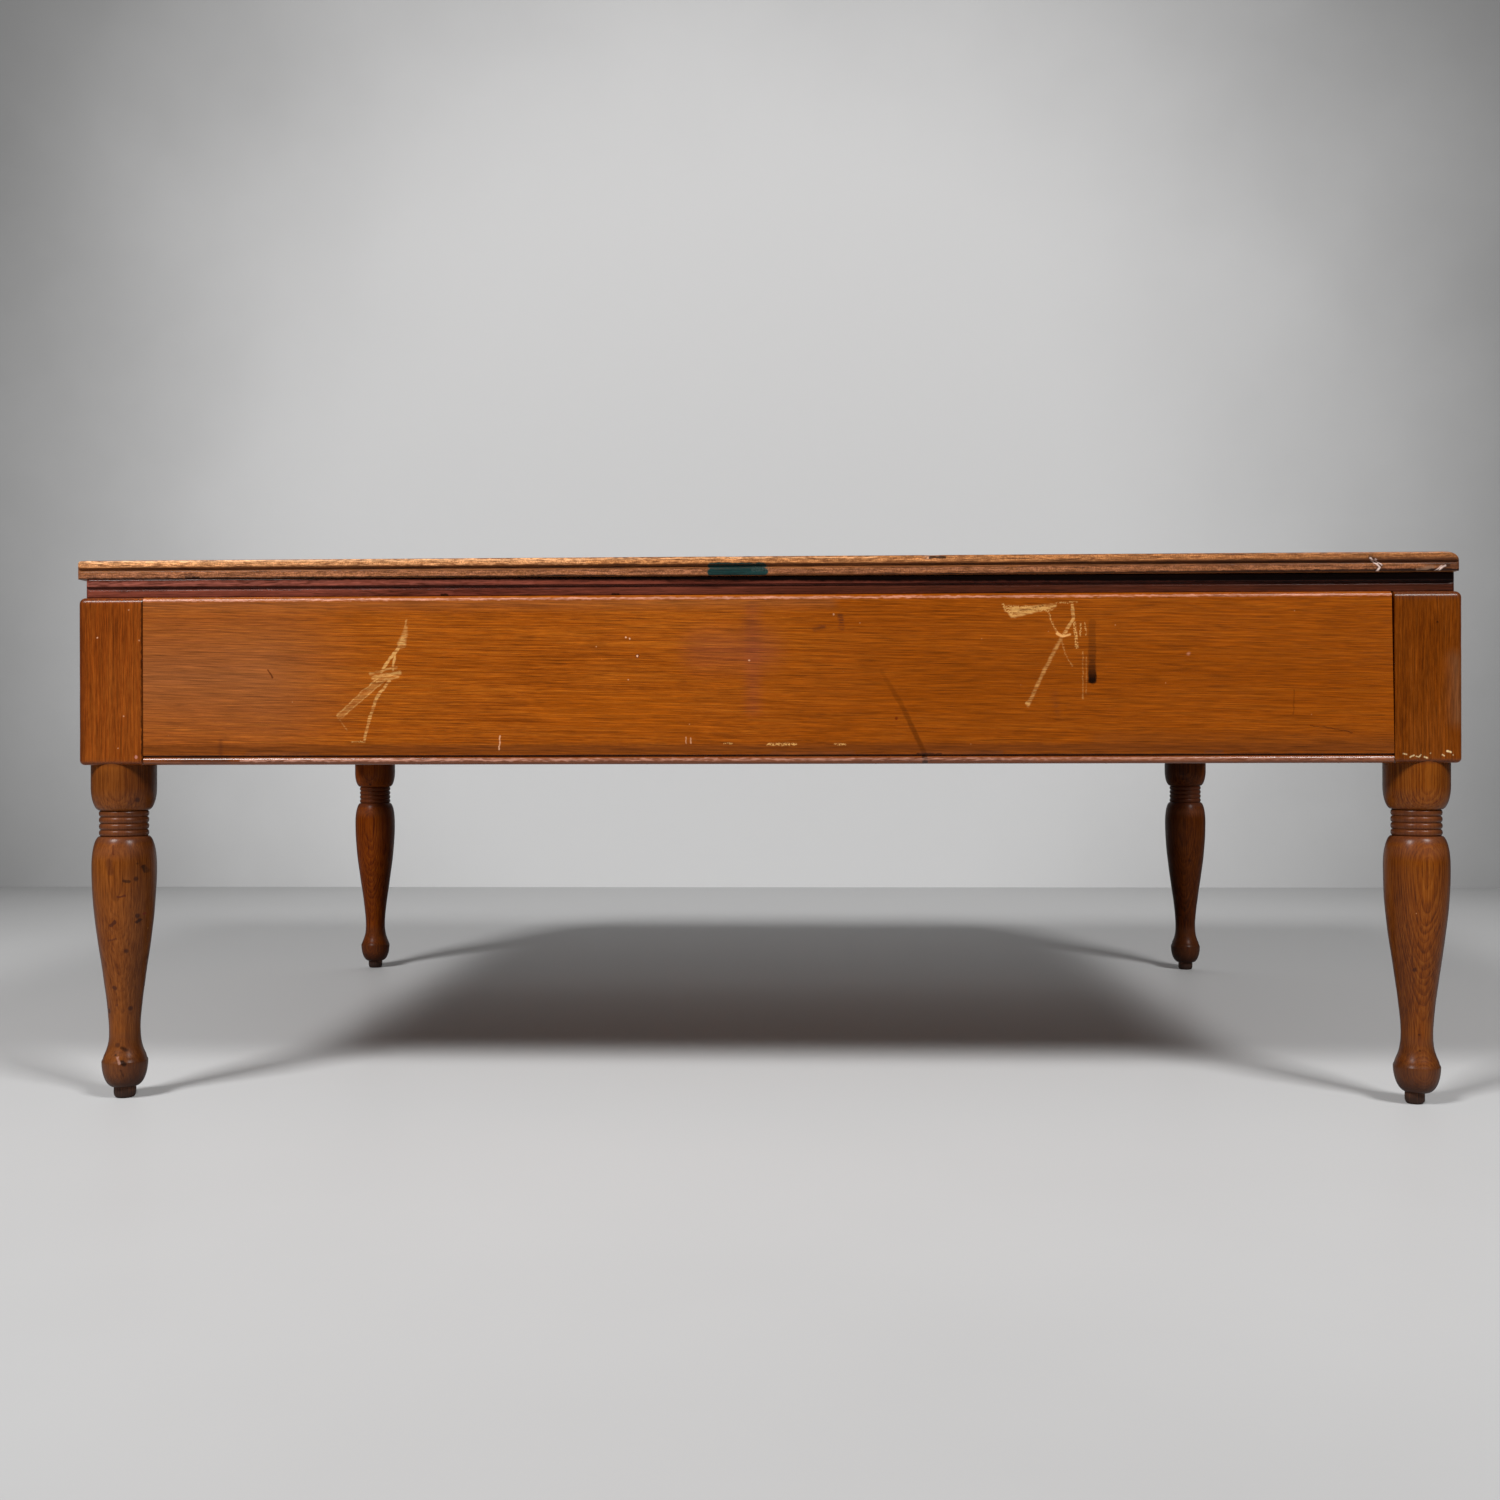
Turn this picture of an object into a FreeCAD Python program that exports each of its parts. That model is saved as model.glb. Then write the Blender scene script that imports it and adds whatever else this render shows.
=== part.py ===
import FreeCAD, Part
import math
import os
from FreeCAD import Vector

# A low communion table in stained hardwood.
# Four legs, each a square block above a turned shaft, are joined by four deep aprons
# that are tenoned into the blocks. A moulded frame lies on the aprons, and the boards of
# the top are screwed to that frame from below.
# Millimetres. The origin is on the floor under the middle of the table, +X runs along
# its length, +Y to the rear and +Z up. The front faces -Y.

# Overall
table_length = 1200.0        # over the outer faces of the leg blocks, along X
table_depth = 900.0          # over the outer faces of the leg blocks, along Y
shaft_height = 297.0         # floor to the underside of the leg blocks
apron_zone_height = 147.0    # leg block, and apron with the bead strip under it

# Leg block
block_side = 58.0
block_round = 5.5            # outer corner and the two outer top edges
block_foot_round = 2.5       # edges round the underside of the block

# Leg turning, from the floor up
peg_height = 10.0            # foot peg below the ball
peg_radius = 9.6
peg_edge_round = 3.0
spigot_radius = 6.0          # of the peg, glued in a bore in the foot
spigot_length = 22.0
ball_flat_margin = 0.4       # flat ring under the ball, outside the peg
ball_height = 23.0           # underside of the ball to its widest edge
ball_radius = 19.6
cove_height = 24.0           # widest edge of the ball to the neck
neck_radius = 13.2
neck_length = 5.0
belly_radius = 27.4          # widest place of the tapered shaft
shoulder_height = 27.0       # widest place to the collar
collar_foot_radius = 20.4    # where shoulder and cup meet the collar
ring_count = 4
ring_height = 5.75
ring_radius = 21.1
ring_groove_depth = 1.1
cup_curve_height = 21.0      # rounded lower part of the cup
cup_straight_height = 19.5   # upright wall of the cup below the block
cup_set_in = 1.3             # cup wall behind the faces of the block
cup_root = 8.0               # how far the cup's cylinder runs up into the block

# Aprons
apron_thickness = 22.0
apron_top_round = 4.0
tenon_thickness = 9.0
tenon_set_back = 6.5         # outer face of the apron to the tenon
tenon_height = 48.0
tenon_margin = 14.0          # apron's edge to the nearest tenon
tenon_end_wall = 4.5         # tenon's end to the mortise from the other side
mortise_clearance = 0.1
mortise_spare = 1.0          # mortise deeper than the tenon is long
seam_gap_top = 2.6           # opened joint at the right end of the front apron
seam_gap_bottom = 0.5

# Bead strips
bead_height = 7.0            # half-round bead
quirk_height = 1.2           # small groove between bead and apron
bead_end_gap = 0.4

# Moulded frame and top
frame_inset = 5.0            # behind the faces of the aprons
frame_thickness = 16.5
frame_rail_width = 75.0
frame_tenon_length = 15.0
frame_tenon_thickness = 5.5
frame_tenon_shoulder = 10.0  # edge of the member to its tenon
bearer_width = 60.0
top_end_overhang = 4.0       # past the frame at each end
top_side_overhang = 5.0      # past the frame at front and rear
top_thickness = 16.5
top_skew = -0.45             # degrees that the top has crept round on the frame
board_count = 5
plan_corner_round = 3.5      # corners of frame and top, seen from above
rim_round = 1.4              # upper and lower edges of frame and top
reed_groove_width = 3.0      # parts the front and rear edges into two flat reeds
reed_groove_depth = 2.4
least_flat = 0.2             # left between two roundings of the same reed

# Corner braces and glue blocks
brace_leg = 120.0            # along each apron
brace_thickness = 22.0
brace_clearance = 0.3        # round the leg block
brace_screw_end = 42.0       # tip of the brace to its screw, along the apron
glue_block_side = 20.0
glue_block_chamfer = 8.0
glue_block_length = 60.0
long_side_block_count = 3
short_side_block_count = 2

# Fixings
screw_shank_radius = 2.0
screw_head_radius = 4.0
screw_head_height = 3.0
screw_tip_length = 4.0
screw_bite_in_top = 9.5
screw_bite_in_frame = 10.0
screw_line_inset = 22.0      # inner edge of a frame member to its screws
rail_screw_count = 4
pin_radius = 0.7
pin_head_radius = 1.3
pin_head_height = 0.8
pin_length = 20.0
pin_end_distance = 44.0      # end of the bead strip to its first pin
long_pin_count = 6
short_pin_count = 5
fixing_clearance = 0.05

edge_tolerance = 1e-4        # for telling edges apart by where they lie

# Worked-out places
half_length = table_length / 2
half_depth = table_depth / 2
block_top = shaft_height + apron_zone_height
bead_strip_height = bead_height + quirk_height
apron_bottom = shaft_height + bead_strip_height
frame_top = block_top + frame_thickness
tenon_length = block_side - tenon_set_back - tenon_thickness - tenon_end_wall
long_apron_length = table_length - 2 * block_side
short_apron_length = table_depth - 2 * block_side
frame_length = table_length - 2 * frame_inset
frame_depth = table_depth - 2 * frame_inset
frame_opening_x = frame_length / 2 - frame_rail_width
frame_opening_y = frame_depth / 2 - frame_rail_width
bearer_x = frame_opening_x / 3
top_length = frame_length + 2 * top_end_overhang
top_depth = frame_depth + 2 * top_side_overhang
board_width = top_depth / board_count
leg_centre_x = half_length - block_side / 2
leg_centre_y = half_depth - block_side / 2

SIDES_X = {"left": -1, "right": 1}
SIDES_Y = {"front": -1, "rear": 1}


def box_between(low, high):
    """Box with two opposite corners, each (x, y, z)."""
    corner = Vector(*(min(a, b) for a, b in zip(low, high)))
    size = [abs(b - a) for a, b in zip(low, high)]
    return Part.makeBox(size[0], size[1], size[2], corner)


def turned(edges):
    """Solid of revolution about Z from the edges of a closed outline in the XZ plane."""
    outline = Part.Wire(Part.__sortEdges__(edges))
    solid = Part.Face(outline).revolve(Vector(0, 0, 0), Vector(0, 0, 1), 360)
    return solid


def line(start, end):
    """Straight edge between two (radius, height) points of a turning's outline."""
    return Part.LineSegment(Vector(start[0], 0, start[1]), Vector(end[0], 0, end[1])).toShape()


def curve(points):
    """Smooth edge through (radius, height) points of a turning's outline."""
    spline = Part.BSplineCurve()
    spline.interpolate([Vector(radius, 0, height) for radius, height in points])
    return spline.toShape()


def bulge(start, middle, end):
    """Circular edge through three (radius, height) points of a turning's outline."""
    points = [Vector(radius, 0, height) for radius, height in (start, middle, end)]
    return Part.Arc(*points).toShape()


def quarter_oval(inner_radius, outer_radius, wide_height, narrow_height, steps=8):
    """Points of a quarter ellipse that swells from inner_radius to outer_radius."""
    points = []
    for step in range(steps + 1):
        angle = math.pi / 2 * step / steps
        radius = inner_radius + (outer_radius - inner_radius) * math.cos(angle)
        height = wide_height + (narrow_height - wide_height) * math.sin(angle)
        points.append((radius, height))
    return points


def leg_turning():
    """Turned part of a leg, from the ball foot up to the cup under the block."""
    cup_radius = block_side / 2 - cup_set_in
    ball_bottom = peg_height
    ball_edge = ball_bottom + ball_height
    neck_bottom = ball_edge + cove_height
    neck_top = neck_bottom + neck_length
    cup_wall_bottom = shaft_height - cup_straight_height
    cup_bottom = cup_wall_bottom - cup_curve_height
    collar_bottom = cup_bottom - ring_count * ring_height
    belly = collar_bottom - shoulder_height
    ball_flat_radius = peg_radius + ball_flat_margin
    cup_top = shaft_height + cup_root

    # The foot is an oval below its crisp edge, and a hollow sweep above it.
    foot = quarter_oval(ball_flat_radius, ball_radius, ball_edge, ball_bottom)
    sweep_shape = [(0, 0), (0.16, 0.22), (0.42, 0.66), (0.72, 0.92), (1, 1)]
    sweep = [(ball_radius - share_in * (ball_radius - neck_radius),
              ball_edge + share_up * cove_height) for share_up, share_in in sweep_shape]

    # The shaft swells slowly out of the neck and levels off at the belly.
    taper = []
    taper_steps = 8
    for step in range(taper_steps + 1):
        share = step / taper_steps
        swell = math.sin(share * math.pi / 2) ** 1.5
        taper.append((neck_radius + (belly_radius - neck_radius) * swell,
                      neck_top + share * (belly - neck_top)))
    shoulder = quarter_oval(collar_foot_radius, belly_radius, belly, collar_bottom)
    cup = quarter_oval(collar_foot_radius, cup_radius, cup_wall_bottom, cup_bottom)

    edges = [line((0, ball_bottom), foot[-1]), curve(foot), curve(sweep)]
    edges += [line(sweep[-1], taper[0]), curve(taper), curve(shoulder)]
    groove_radius = ring_radius - ring_groove_depth
    edges.append(line(shoulder[-1], (groove_radius, collar_bottom)))
    for ring in range(ring_count):
        low = collar_bottom + ring * ring_height
        edges.append(bulge((groove_radius, low), (ring_radius, low + ring_height / 2),
                           (groove_radius, low + ring_height)))
    edges.append(line((groove_radius, cup_bottom), cup[-1]))
    edges += [curve(cup), line(cup[0], (cup_radius, cup_top))]
    edges += [line((cup_radius, cup_top), (0, cup_top)), line((0, cup_top), (0, ball_bottom))]
    return turned(edges)


def leg_block():
    """Square block about the leg's axis, its outer corner towards +X +Y."""
    half = block_side / 2
    block = box_between((-half, -half, shaft_height), (half, half, block_top))

    def outer_edges(edge):
        box = edge.BoundBox
        upright = box.XLength < edge_tolerance and box.YLength < edge_tolerance
        if upright:
            return box.XMin > 0 and box.YMin > 0
        at_top = box.ZMin > block_top - edge_tolerance
        return at_top and (box.XMin > half - edge_tolerance or box.YMin > half - edge_tolerance)

    block = block.makeFillet(block_round, [edge for edge in block.Edges if outer_edges(edge)])
    underside = [edge for edge in block.Edges if edge.BoundBox.ZMax < shaft_height + edge_tolerance]
    return block.makeFillet(block_foot_round, underside)


def tenon_heights():
    """Low and high Z of each of the apron's two tenons."""
    lower = apron_bottom + tenon_margin
    upper = block_top - tenon_margin - tenon_height
    return [(lower, lower + tenon_height), (upper, upper + tenon_height)]


def mortises():
    """Cutting boxes for the tenons of both aprons, in the leg's own frame."""
    half = block_side / 2
    depth = tenon_length + mortise_spare
    near = half - tenon_set_back + mortise_clearance
    far = near - tenon_thickness - 2 * mortise_clearance
    cutters = []
    for low, high in tenon_heights():
        low -= mortise_clearance
        high += mortise_clearance
        cutters.append(box_between((-half, far, low), (-half + depth, near, high)))
        cutters.append(box_between((far, -half, low), (near, -half + depth, high)))
    return cutters


def leg(side_x, side_y):
    """Leg at one corner, with its mortises and the bore for its foot peg."""
    bore_depth = spigot_length + mortise_spare
    bore = Part.makeCylinder(spigot_radius + mortise_clearance, bore_depth,
                             Vector(0, 0, peg_height))
    shape = leg_turning().fuse(leg_block()).removeSplitter()
    shape = shape.cut(Part.makeCompound(mortises() + [bore]))
    # The four corners are mirror images of each other.
    if side_x < 0:
        shape = shape.mirror(Vector(0, 0, 0), Vector(1, 0, 0))
    if side_y < 0:
        shape = shape.mirror(Vector(0, 0, 0), Vector(0, 1, 0))
    shape.translate(Vector(side_x * leg_centre_x, side_y * leg_centre_y, 0))
    return shape


def foot_peg(side_x, side_y):
    """Turned peg under a ball foot, with the spigot that is glued into the foot."""
    body = Part.makeCylinder(peg_radius, peg_height)
    floor_rim = [edge for edge in body.Edges if edge.BoundBox.ZMax < edge_tolerance]
    body = body.makeFillet(peg_edge_round, floor_rim)
    spigot = Part.makeCylinder(spigot_radius, spigot_length, Vector(0, 0, peg_height))
    peg = body.fuse(spigot)
    peg.translate(Vector(side_x * leg_centre_x, side_y * leg_centre_y, 0))
    return peg


def turned_to_side(shape, name):
    """Turn a piece made for the front so that it faces the named side."""
    angle = {"front": 0, "right": 90, "rear": 180, "left": 270}[name]
    shape.rotate(Vector(0, 0, 0), Vector(0, 0, 1), angle)
    return shape


def side_length(name):
    """Length between the leg blocks on the named side."""
    return long_apron_length if name in SIDES_Y else short_apron_length


def side_reach(name):
    """Distance from the middle of the table to the outer face of the named side."""
    return half_depth if name in SIDES_Y else half_length


def apron(name, pin_holes):
    """Apron board with two tenons at each end; the front one has an opened right joint."""
    half = side_length(name) / 2
    face = -side_reach(name)
    board = box_between((-half, face, apron_bottom), (half, face + apron_thickness, block_top))
    top_edge = [edge for edge in board.Edges
                if edge.BoundBox.ZMin > block_top - edge_tolerance
                and edge.BoundBox.YMax < face + edge_tolerance]
    board = board.makeFillet(apron_top_round, top_edge)
    if name == "front":
        corners = [(half, apron_bottom), (half - seam_gap_bottom, apron_bottom),
                   (half - seam_gap_top, block_top), (half, block_top)]
        points = [Vector(x, face, z) for x, z in corners]
        wedge = Part.Face(Part.makePolygon(points + points[:1]))
        board = board.cut(wedge.extrude(Vector(0, apron_thickness, 0)))
    tenon_face = face + tenon_set_back
    inside = half - max(seam_gap_top, seam_gap_bottom)
    for low, high in tenon_heights():
        for end in (-1, 1):
            tenon = box_between((end * inside, tenon_face, low),
                                (end * (half + tenon_length), tenon_face + tenon_thickness, high))
            board = board.fuse(tenon)
    return turned_to_side(board.removeSplitter(), name).cut(pin_holes)


def bead_strip(name, pin_holes):
    """Strip with a half-round nose and a quirk above it, along the apron's lower edge."""
    half = side_length(name) / 2 - bead_end_gap
    face = -side_reach(name)
    radius = bead_height / 2
    low = shaft_height
    high = low + bead_strip_height
    back = face + apron_thickness
    nose = Part.Arc(Vector(-half, face + radius, low), Vector(-half, face, low + radius),
                    Vector(-half, face + radius, low + bead_height)).toShape()
    rest = Part.makePolygon([Vector(-half, face + radius, low + bead_height),
                             Vector(-half, face + radius, high), Vector(-half, back, high),
                             Vector(-half, back, low), Vector(-half, face + radius, low)])
    section = Part.Face(Part.Wire([nose] + rest.Edges))
    strip = section.extrude(Vector(2 * half, 0, 0))
    return turned_to_side(strip, name).cut(pin_holes)


def reeded_plate(length, depth, thickness, bottom):
    """Plate with rounded corners in plan and two reeds along its front and rear edges."""
    half_x = length / 2
    half_y = depth / 2
    reed = (thickness - reed_groove_width) / 2
    plate = box_between((-half_x, -half_y, bottom), (half_x, half_y, bottom + thickness))
    corners = [edge for edge in plate.Edges if edge.BoundBox.ZLength > thickness - edge_tolerance]
    plate = plate.makeFillet(plan_corner_round, corners)
    rim = [edge for edge in plate.Edges if edge.BoundBox.ZLength < edge_tolerance]
    plate = plate.makeFillet(min(rim_round, reed - least_flat, plan_corner_round - least_flat), rim)
    grooves = [box_between((-length, side * half_y, bottom + reed),
                           (length, side * (half_y - reed_groove_depth), bottom + thickness - reed))
               for side in (-1, 1)]
    return plate.cut(grooves)


def frame_tenon(shape, cutter_clearance):
    """Stub tenons of an end rail or bearer, as boxes at both ends, for fusing or cutting."""
    box = shape.BoundBox
    middle = block_top + frame_thickness / 2
    half_thickness = frame_tenon_thickness / 2 + cutter_clearance
    left = box.XMin + frame_tenon_shoulder - cutter_clearance
    right = box.XMax - frame_tenon_shoulder + cutter_clearance
    reach = frame_opening_y + frame_tenon_length
    if cutter_clearance > 0:
        reach += mortise_spare
    return [box_between((left, end * frame_opening_y, middle - half_thickness),
                        (right, end * reach, middle + half_thickness)) for end in (-1, 1)]


def frame_members():
    """Front and rear rails, end rails and bearers of the moulded frame, by node name."""
    plate = reeded_plate(frame_length, frame_depth, frame_thickness, block_top)
    members = {}
    for name, side in SIDES_X.items():
        keep = box_between((side * frame_opening_x, -frame_opening_y, block_top),
                           (side * half_length, frame_opening_y, frame_top))
        members["frame_rail_" + name] = plate.common(keep)
        near = side * bearer_x - bearer_width / 2
        members["bearer_" + name] = box_between((near, -frame_opening_y, block_top),
                                                (near + bearer_width, frame_opening_y, frame_top))
    sockets = []
    for name, shape in members.items():
        sockets += frame_tenon(shape, mortise_clearance)
        members[name] = shape.fuse(frame_tenon(shape, 0))
    for name, side in SIDES_Y.items():
        keep = box_between((-half_length, side * frame_opening_y, block_top),
                           (half_length, side * half_depth, frame_top))
        members["frame_rail_" + name] = plate.common(keep).cut(sockets)
    return members


def top_boards():
    """Edge-jointed boards of the top, front to rear, turned by the skew of the top."""
    plate = reeded_plate(top_length, top_depth, top_thickness, frame_top)
    boards = {}
    for number, (low, high) in enumerate(board_edges(), start=1):
        keep = box_between((-top_length, low, frame_top),
                           (top_length, high, frame_top + top_thickness))
        board = plate.common(keep)
        board.rotate(Vector(0, 0, 0), Vector(0, 0, 1), top_skew)
        boards["top_board_" + str(number)] = board
    return boards


def board_edges():
    """Front and rear Y of each board of the top."""
    front = -top_depth / 2
    return [(front + number * board_width, front + (number + 1) * board_width)
            for number in range(board_count)]


def corner_brace(side_x, side_y, screw_holes):
    """Three-cornered brace in the angle of two aprons, notched round the leg block."""
    inner_x = half_length - apron_thickness
    inner_y = half_depth - apron_thickness
    low = block_top - brace_thickness
    corners = [(inner_x, inner_y), (inner_x - brace_leg, inner_y), (inner_x, inner_y - brace_leg)]
    points = [Vector(side_x * x, side_y * y, low) for x, y in corners]
    brace = Part.Face(Part.makePolygon(points + points[:1])).extrude(Vector(0, 0, brace_thickness))
    notch_x = half_length - block_side - brace_clearance
    notch_y = half_depth - block_side - brace_clearance
    notch = box_between((side_x * notch_x, side_y * notch_y, low),
                        (side_x * half_length, side_y * half_depth, block_top))
    return brace.cut(notch).cut(screw_holes)


def room_between_braces(name):
    """Free length along the inside of the named side's apron."""
    return side_length(name) + 2 * (block_side - apron_thickness - brace_leg)


def spaced(count, pitch):
    """Places of so many things at one pitch, about the middle."""
    return [(number - (count - 1) / 2) * pitch for number in range(count)]


def glue_blocks(name):
    """Chamfered blocks rubbed into the angle between an apron and the frame."""
    count = long_side_block_count if name in SIDES_Y else short_side_block_count
    pitch = room_between_braces(name) / count
    near = apron_thickness - side_reach(name)
    far = near + glue_block_side
    low = block_top - glue_block_side
    section = [(near, low), (far - glue_block_chamfer, low), (far, low + glue_block_chamfer),
               (far, block_top), (near, block_top)]
    blocks = []
    for place in spaced(count, pitch):
        start = place - glue_block_length / 2
        points = [Vector(start, y, z) for y, z in section]
        face = Part.Face(Part.makePolygon(points + points[:1]))
        blocks.append(face.extrude(Vector(glue_block_length, 0, 0)))
    return turned_to_side(Part.makeCompound(blocks), name)


def wood_screw(place, length, clearance=0.0):
    """Countersunk screw pointing up, its head flush at place; or its hole, with clearance."""
    head = screw_head_radius + clearance
    shank = screw_shank_radius + clearance
    tip = length + clearance
    outline = [(0, 0), (head, 0), (shank, screw_head_height),
               (shank, tip - screw_tip_length), (0, tip), (0, 0)]
    screw = turned([line(start, end) for start, end in zip(outline, outline[1:])])
    screw.translate(place)
    return screw


def top_screw_places():
    """Undersides of the frame members where the screws for the top boards go in."""
    rail_y = frame_opening_y + screw_line_inset
    end_x = frame_opening_x + screw_line_inset
    rail_pitch = room_between_braces("front") / rail_screw_count
    places = [(x, side * rail_y) for x in spaced(rail_screw_count, rail_pitch) for side in (-1, 1)]
    for low, high in board_edges()[1:-1]:
        middle = (low + high) / 2
        places += [(x, middle) for x in (-end_x, -bearer_x, bearer_x, end_x)]
    return [Vector(x, y, block_top) for x, y in places]


def brace_screw_places():
    """Undersides of the corner braces where their screws go up into the frame."""
    rail_middle = (frame_inset + frame_rail_width + apron_thickness) / 2
    along_x = half_length - apron_thickness - brace_leg + brace_screw_end
    along_y = half_depth - apron_thickness - brace_leg + brace_screw_end
    pairs = [(along_x, half_depth - rail_middle), (half_length - rail_middle, along_y)]
    return [Vector(side_x * x, side_y * y, block_top - brace_thickness)
            for side_x in (-1, 1) for side_y in (-1, 1) for x, y in pairs]


def panel_pin(place, clearance=0.0):
    """Headed pin pointing up, its head flush at place; or its hole, with clearance."""
    head = Part.makeCylinder(pin_head_radius + clearance, pin_head_height + clearance, place)
    shank = Part.makeCylinder(pin_radius + clearance, pin_length + clearance, place)
    return head.fuse(shank)


def pin_places():
    """Undersides of the bead strips where the panel pins go in."""
    places = []
    for name in list(SIDES_Y) + list(SIDES_X):
        count = long_pin_count if name in SIDES_Y else short_pin_count
        pitch = (side_length(name) - 2 * pin_end_distance) / (count - 1)
        line_y = apron_thickness / 2 - side_reach(name)
        points = [Part.Vertex(x, line_y, shaft_height) for x in spaced(count, pitch)]
        turned_points = turned_to_side(Part.makeCompound(points), name)
        places += [vertex.Point for vertex in turned_points.Vertexes]
    return places


def build():
    """All pieces of the table, by node name."""
    top_screw_length = frame_thickness + screw_bite_in_top
    brace_screw_length = brace_thickness + screw_bite_in_frame
    top_screw_holes = [wood_screw(place, top_screw_length, fixing_clearance)
                       for place in top_screw_places()]
    brace_screw_holes = [wood_screw(place, brace_screw_length, fixing_clearance)
                         for place in brace_screw_places()]
    pin_holes = [panel_pin(place, fixing_clearance) for place in pin_places()]

    pieces = {}
    for name_y, side_y in SIDES_Y.items():
        for name_x, side_x in SIDES_X.items():
            corner = name_y + "_" + name_x
            pieces["leg_" + corner] = leg(side_x, side_y)
            pieces["foot_peg_" + corner] = foot_peg(side_x, side_y)
            pieces["corner_brace_" + corner] = corner_brace(side_x, side_y, brace_screw_holes)
    for name in list(SIDES_Y) + list(SIDES_X):
        pieces["apron_" + name] = apron(name, pin_holes)
        pieces["bead_strip_" + name] = bead_strip(name, pin_holes)
        pieces["glue_blocks_" + name] = glue_blocks(name)
    for name, shape in frame_members().items():
        pieces[name] = shape.cut(top_screw_holes + brace_screw_holes)
    for name, shape in top_boards().items():
        pieces[name] = shape.cut(top_screw_holes)
    pieces["top_screws"] = Part.makeCompound([wood_screw(place, top_screw_length)
                                              for place in top_screw_places()])
    pieces["brace_screws"] = Part.makeCompound([wood_screw(place, brace_screw_length)
                                                for place in brace_screw_places()])
    pieces["bead_pins"] = Part.makeCompound([panel_pin(place) for place in pin_places()])
    return pieces


os.makedirs("parts", exist_ok=True)
for node, piece in build().items():
    piece.exportStep("parts/" + node + ".step")
    print(node, len(piece.Solids), "solid(s)", round(piece.Volume / 1000, 1), "cm3")
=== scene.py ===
import logging
import math
from dataclasses import dataclass, field
from enum import Enum
from itertools import groupby, pairwise, product
from typing import Any, Mapping, NamedTuple, Sequence

import bmesh
import bpy
import numpy as np
from mathutils import Euler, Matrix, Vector, noise


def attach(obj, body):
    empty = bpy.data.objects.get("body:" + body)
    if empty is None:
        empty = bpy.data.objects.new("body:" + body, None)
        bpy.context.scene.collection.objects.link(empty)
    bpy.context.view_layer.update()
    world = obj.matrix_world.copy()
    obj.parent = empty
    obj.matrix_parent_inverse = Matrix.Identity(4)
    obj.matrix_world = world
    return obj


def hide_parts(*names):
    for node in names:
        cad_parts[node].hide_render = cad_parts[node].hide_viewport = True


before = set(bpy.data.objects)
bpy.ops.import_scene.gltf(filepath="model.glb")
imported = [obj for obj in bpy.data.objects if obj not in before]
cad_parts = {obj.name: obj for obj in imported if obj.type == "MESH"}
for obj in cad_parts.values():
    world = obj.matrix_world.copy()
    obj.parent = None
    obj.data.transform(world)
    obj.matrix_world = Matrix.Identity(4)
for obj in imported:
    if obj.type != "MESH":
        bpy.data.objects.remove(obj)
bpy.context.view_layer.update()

log = logging.getLogger("communion_table")

Mesh = bpy.types.Mesh
Material = bpy.types.Material
Tree = bpy.types.NodeTree
Spot = tuple[float, float]
Place = tuple[float, float, float]

MM = 0.001
SMOOTH_BELOW = math.radians(32)
BEVEL_ABOVE = math.radians(25)
# Points nearer than this to a face belong to it, in millimetres.
NEAR = 0.05
GROUPS: dict[str, Tree] = {}


def linear(hex_colour: str) -> tuple[float, float, float, float]:
    """Turn an sRGB hex colour into linear light.

    Args:
        hex_colour: six hex digits after a hash sign.

    Returns:
        Linear red, green and blue, and an alpha of 1.
    """
    parts = [int(hex_colour[start:start + 2], 16) / 255 for start in (1, 3, 5)]
    red, green, blue = (p / 12.92 if p <= 0.04045 else ((p + 0.055) / 1.055) ** 2.4 for p in parts)
    return red, green, blue, 1.0


def put(tree: Tree, kind: str, inputs: Mapping[Any, Any] | Sequence[Any] = (), out: int | str = 0,
        **settings: Any) -> Any:
    """Add one node, set its properties, and fill or link its inputs.

    Args:
        tree: the node tree that gets the node.
        kind: the node's type, without "ShaderNode" where it is one, and its operation after a space.
        inputs: values or sockets, in order, or by the input's name or number.
        out: the output that is handed back.
        **settings: properties of the node itself.

    Returns:
        The chosen output socket, or the node where it has no outputs.
    """
    kind, _, operation = kind.partition(" ")
    node = tree.nodes.new(kind if kind.startswith(("Geometry", "Function")) else "ShaderNode" + kind)
    if operation:
        node.operation = operation
    for name, value in settings.items():
        setattr(node, name, value)
    for key, value in inputs.items() if isinstance(inputs, Mapping) else enumerate(inputs):
        if isinstance(value, bpy.types.NodeSocket):
            tree.links.new(value, node.inputs[key])
        else:
            node.inputs[key].default_value = value
    return node.outputs[out] if len(node.outputs) else node


def group_tree(name: str, kind: str, takes: Mapping[str, str], gives: Mapping[str, str]) -> tuple:
    """Start a node group with named sockets.

    Args:
        name: the group's name.
        kind: "ShaderNodeTree" or "GeometryNodeTree".
        takes: input names and their socket types.
        gives: output names and their socket types.

    Returns:
        The tree, the sockets that hold its inputs, and the sockets that take its outputs.
    """
    tree = bpy.data.node_groups.new(name, kind)
    for way, sockets in (("INPUT", takes), ("OUTPUT", gives)):
        for title, socket in sockets.items():
            tree.interface.new_socket(title, in_out=way, socket_type="NodeSocket" + socket)
    return tree, tree.nodes.new("NodeGroupInput").outputs, tree.nodes.new("NodeGroupOutput").inputs


def finish_tree(name: str) -> tuple[Material, Tree]:
    """Start a finish with an empty tree.

    Args:
        name: the material's name.

    Returns:
        The material and its tree.
    """
    made = bpy.data.materials.new(name)
    made.use_nodes = True
    made.node_tree.nodes.clear()
    return made, made.node_tree


class Grain(Enum):
    """Direction in which the fibres of a piece run, as the turn that lays Z along it."""

    LENGTH = (0.0, math.pi / 2, 0.0)
    DEPTH = (-math.pi / 2, 0.0, 0.0)
    UPRIGHT = (0.0, 0.0, 0.0)


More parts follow.
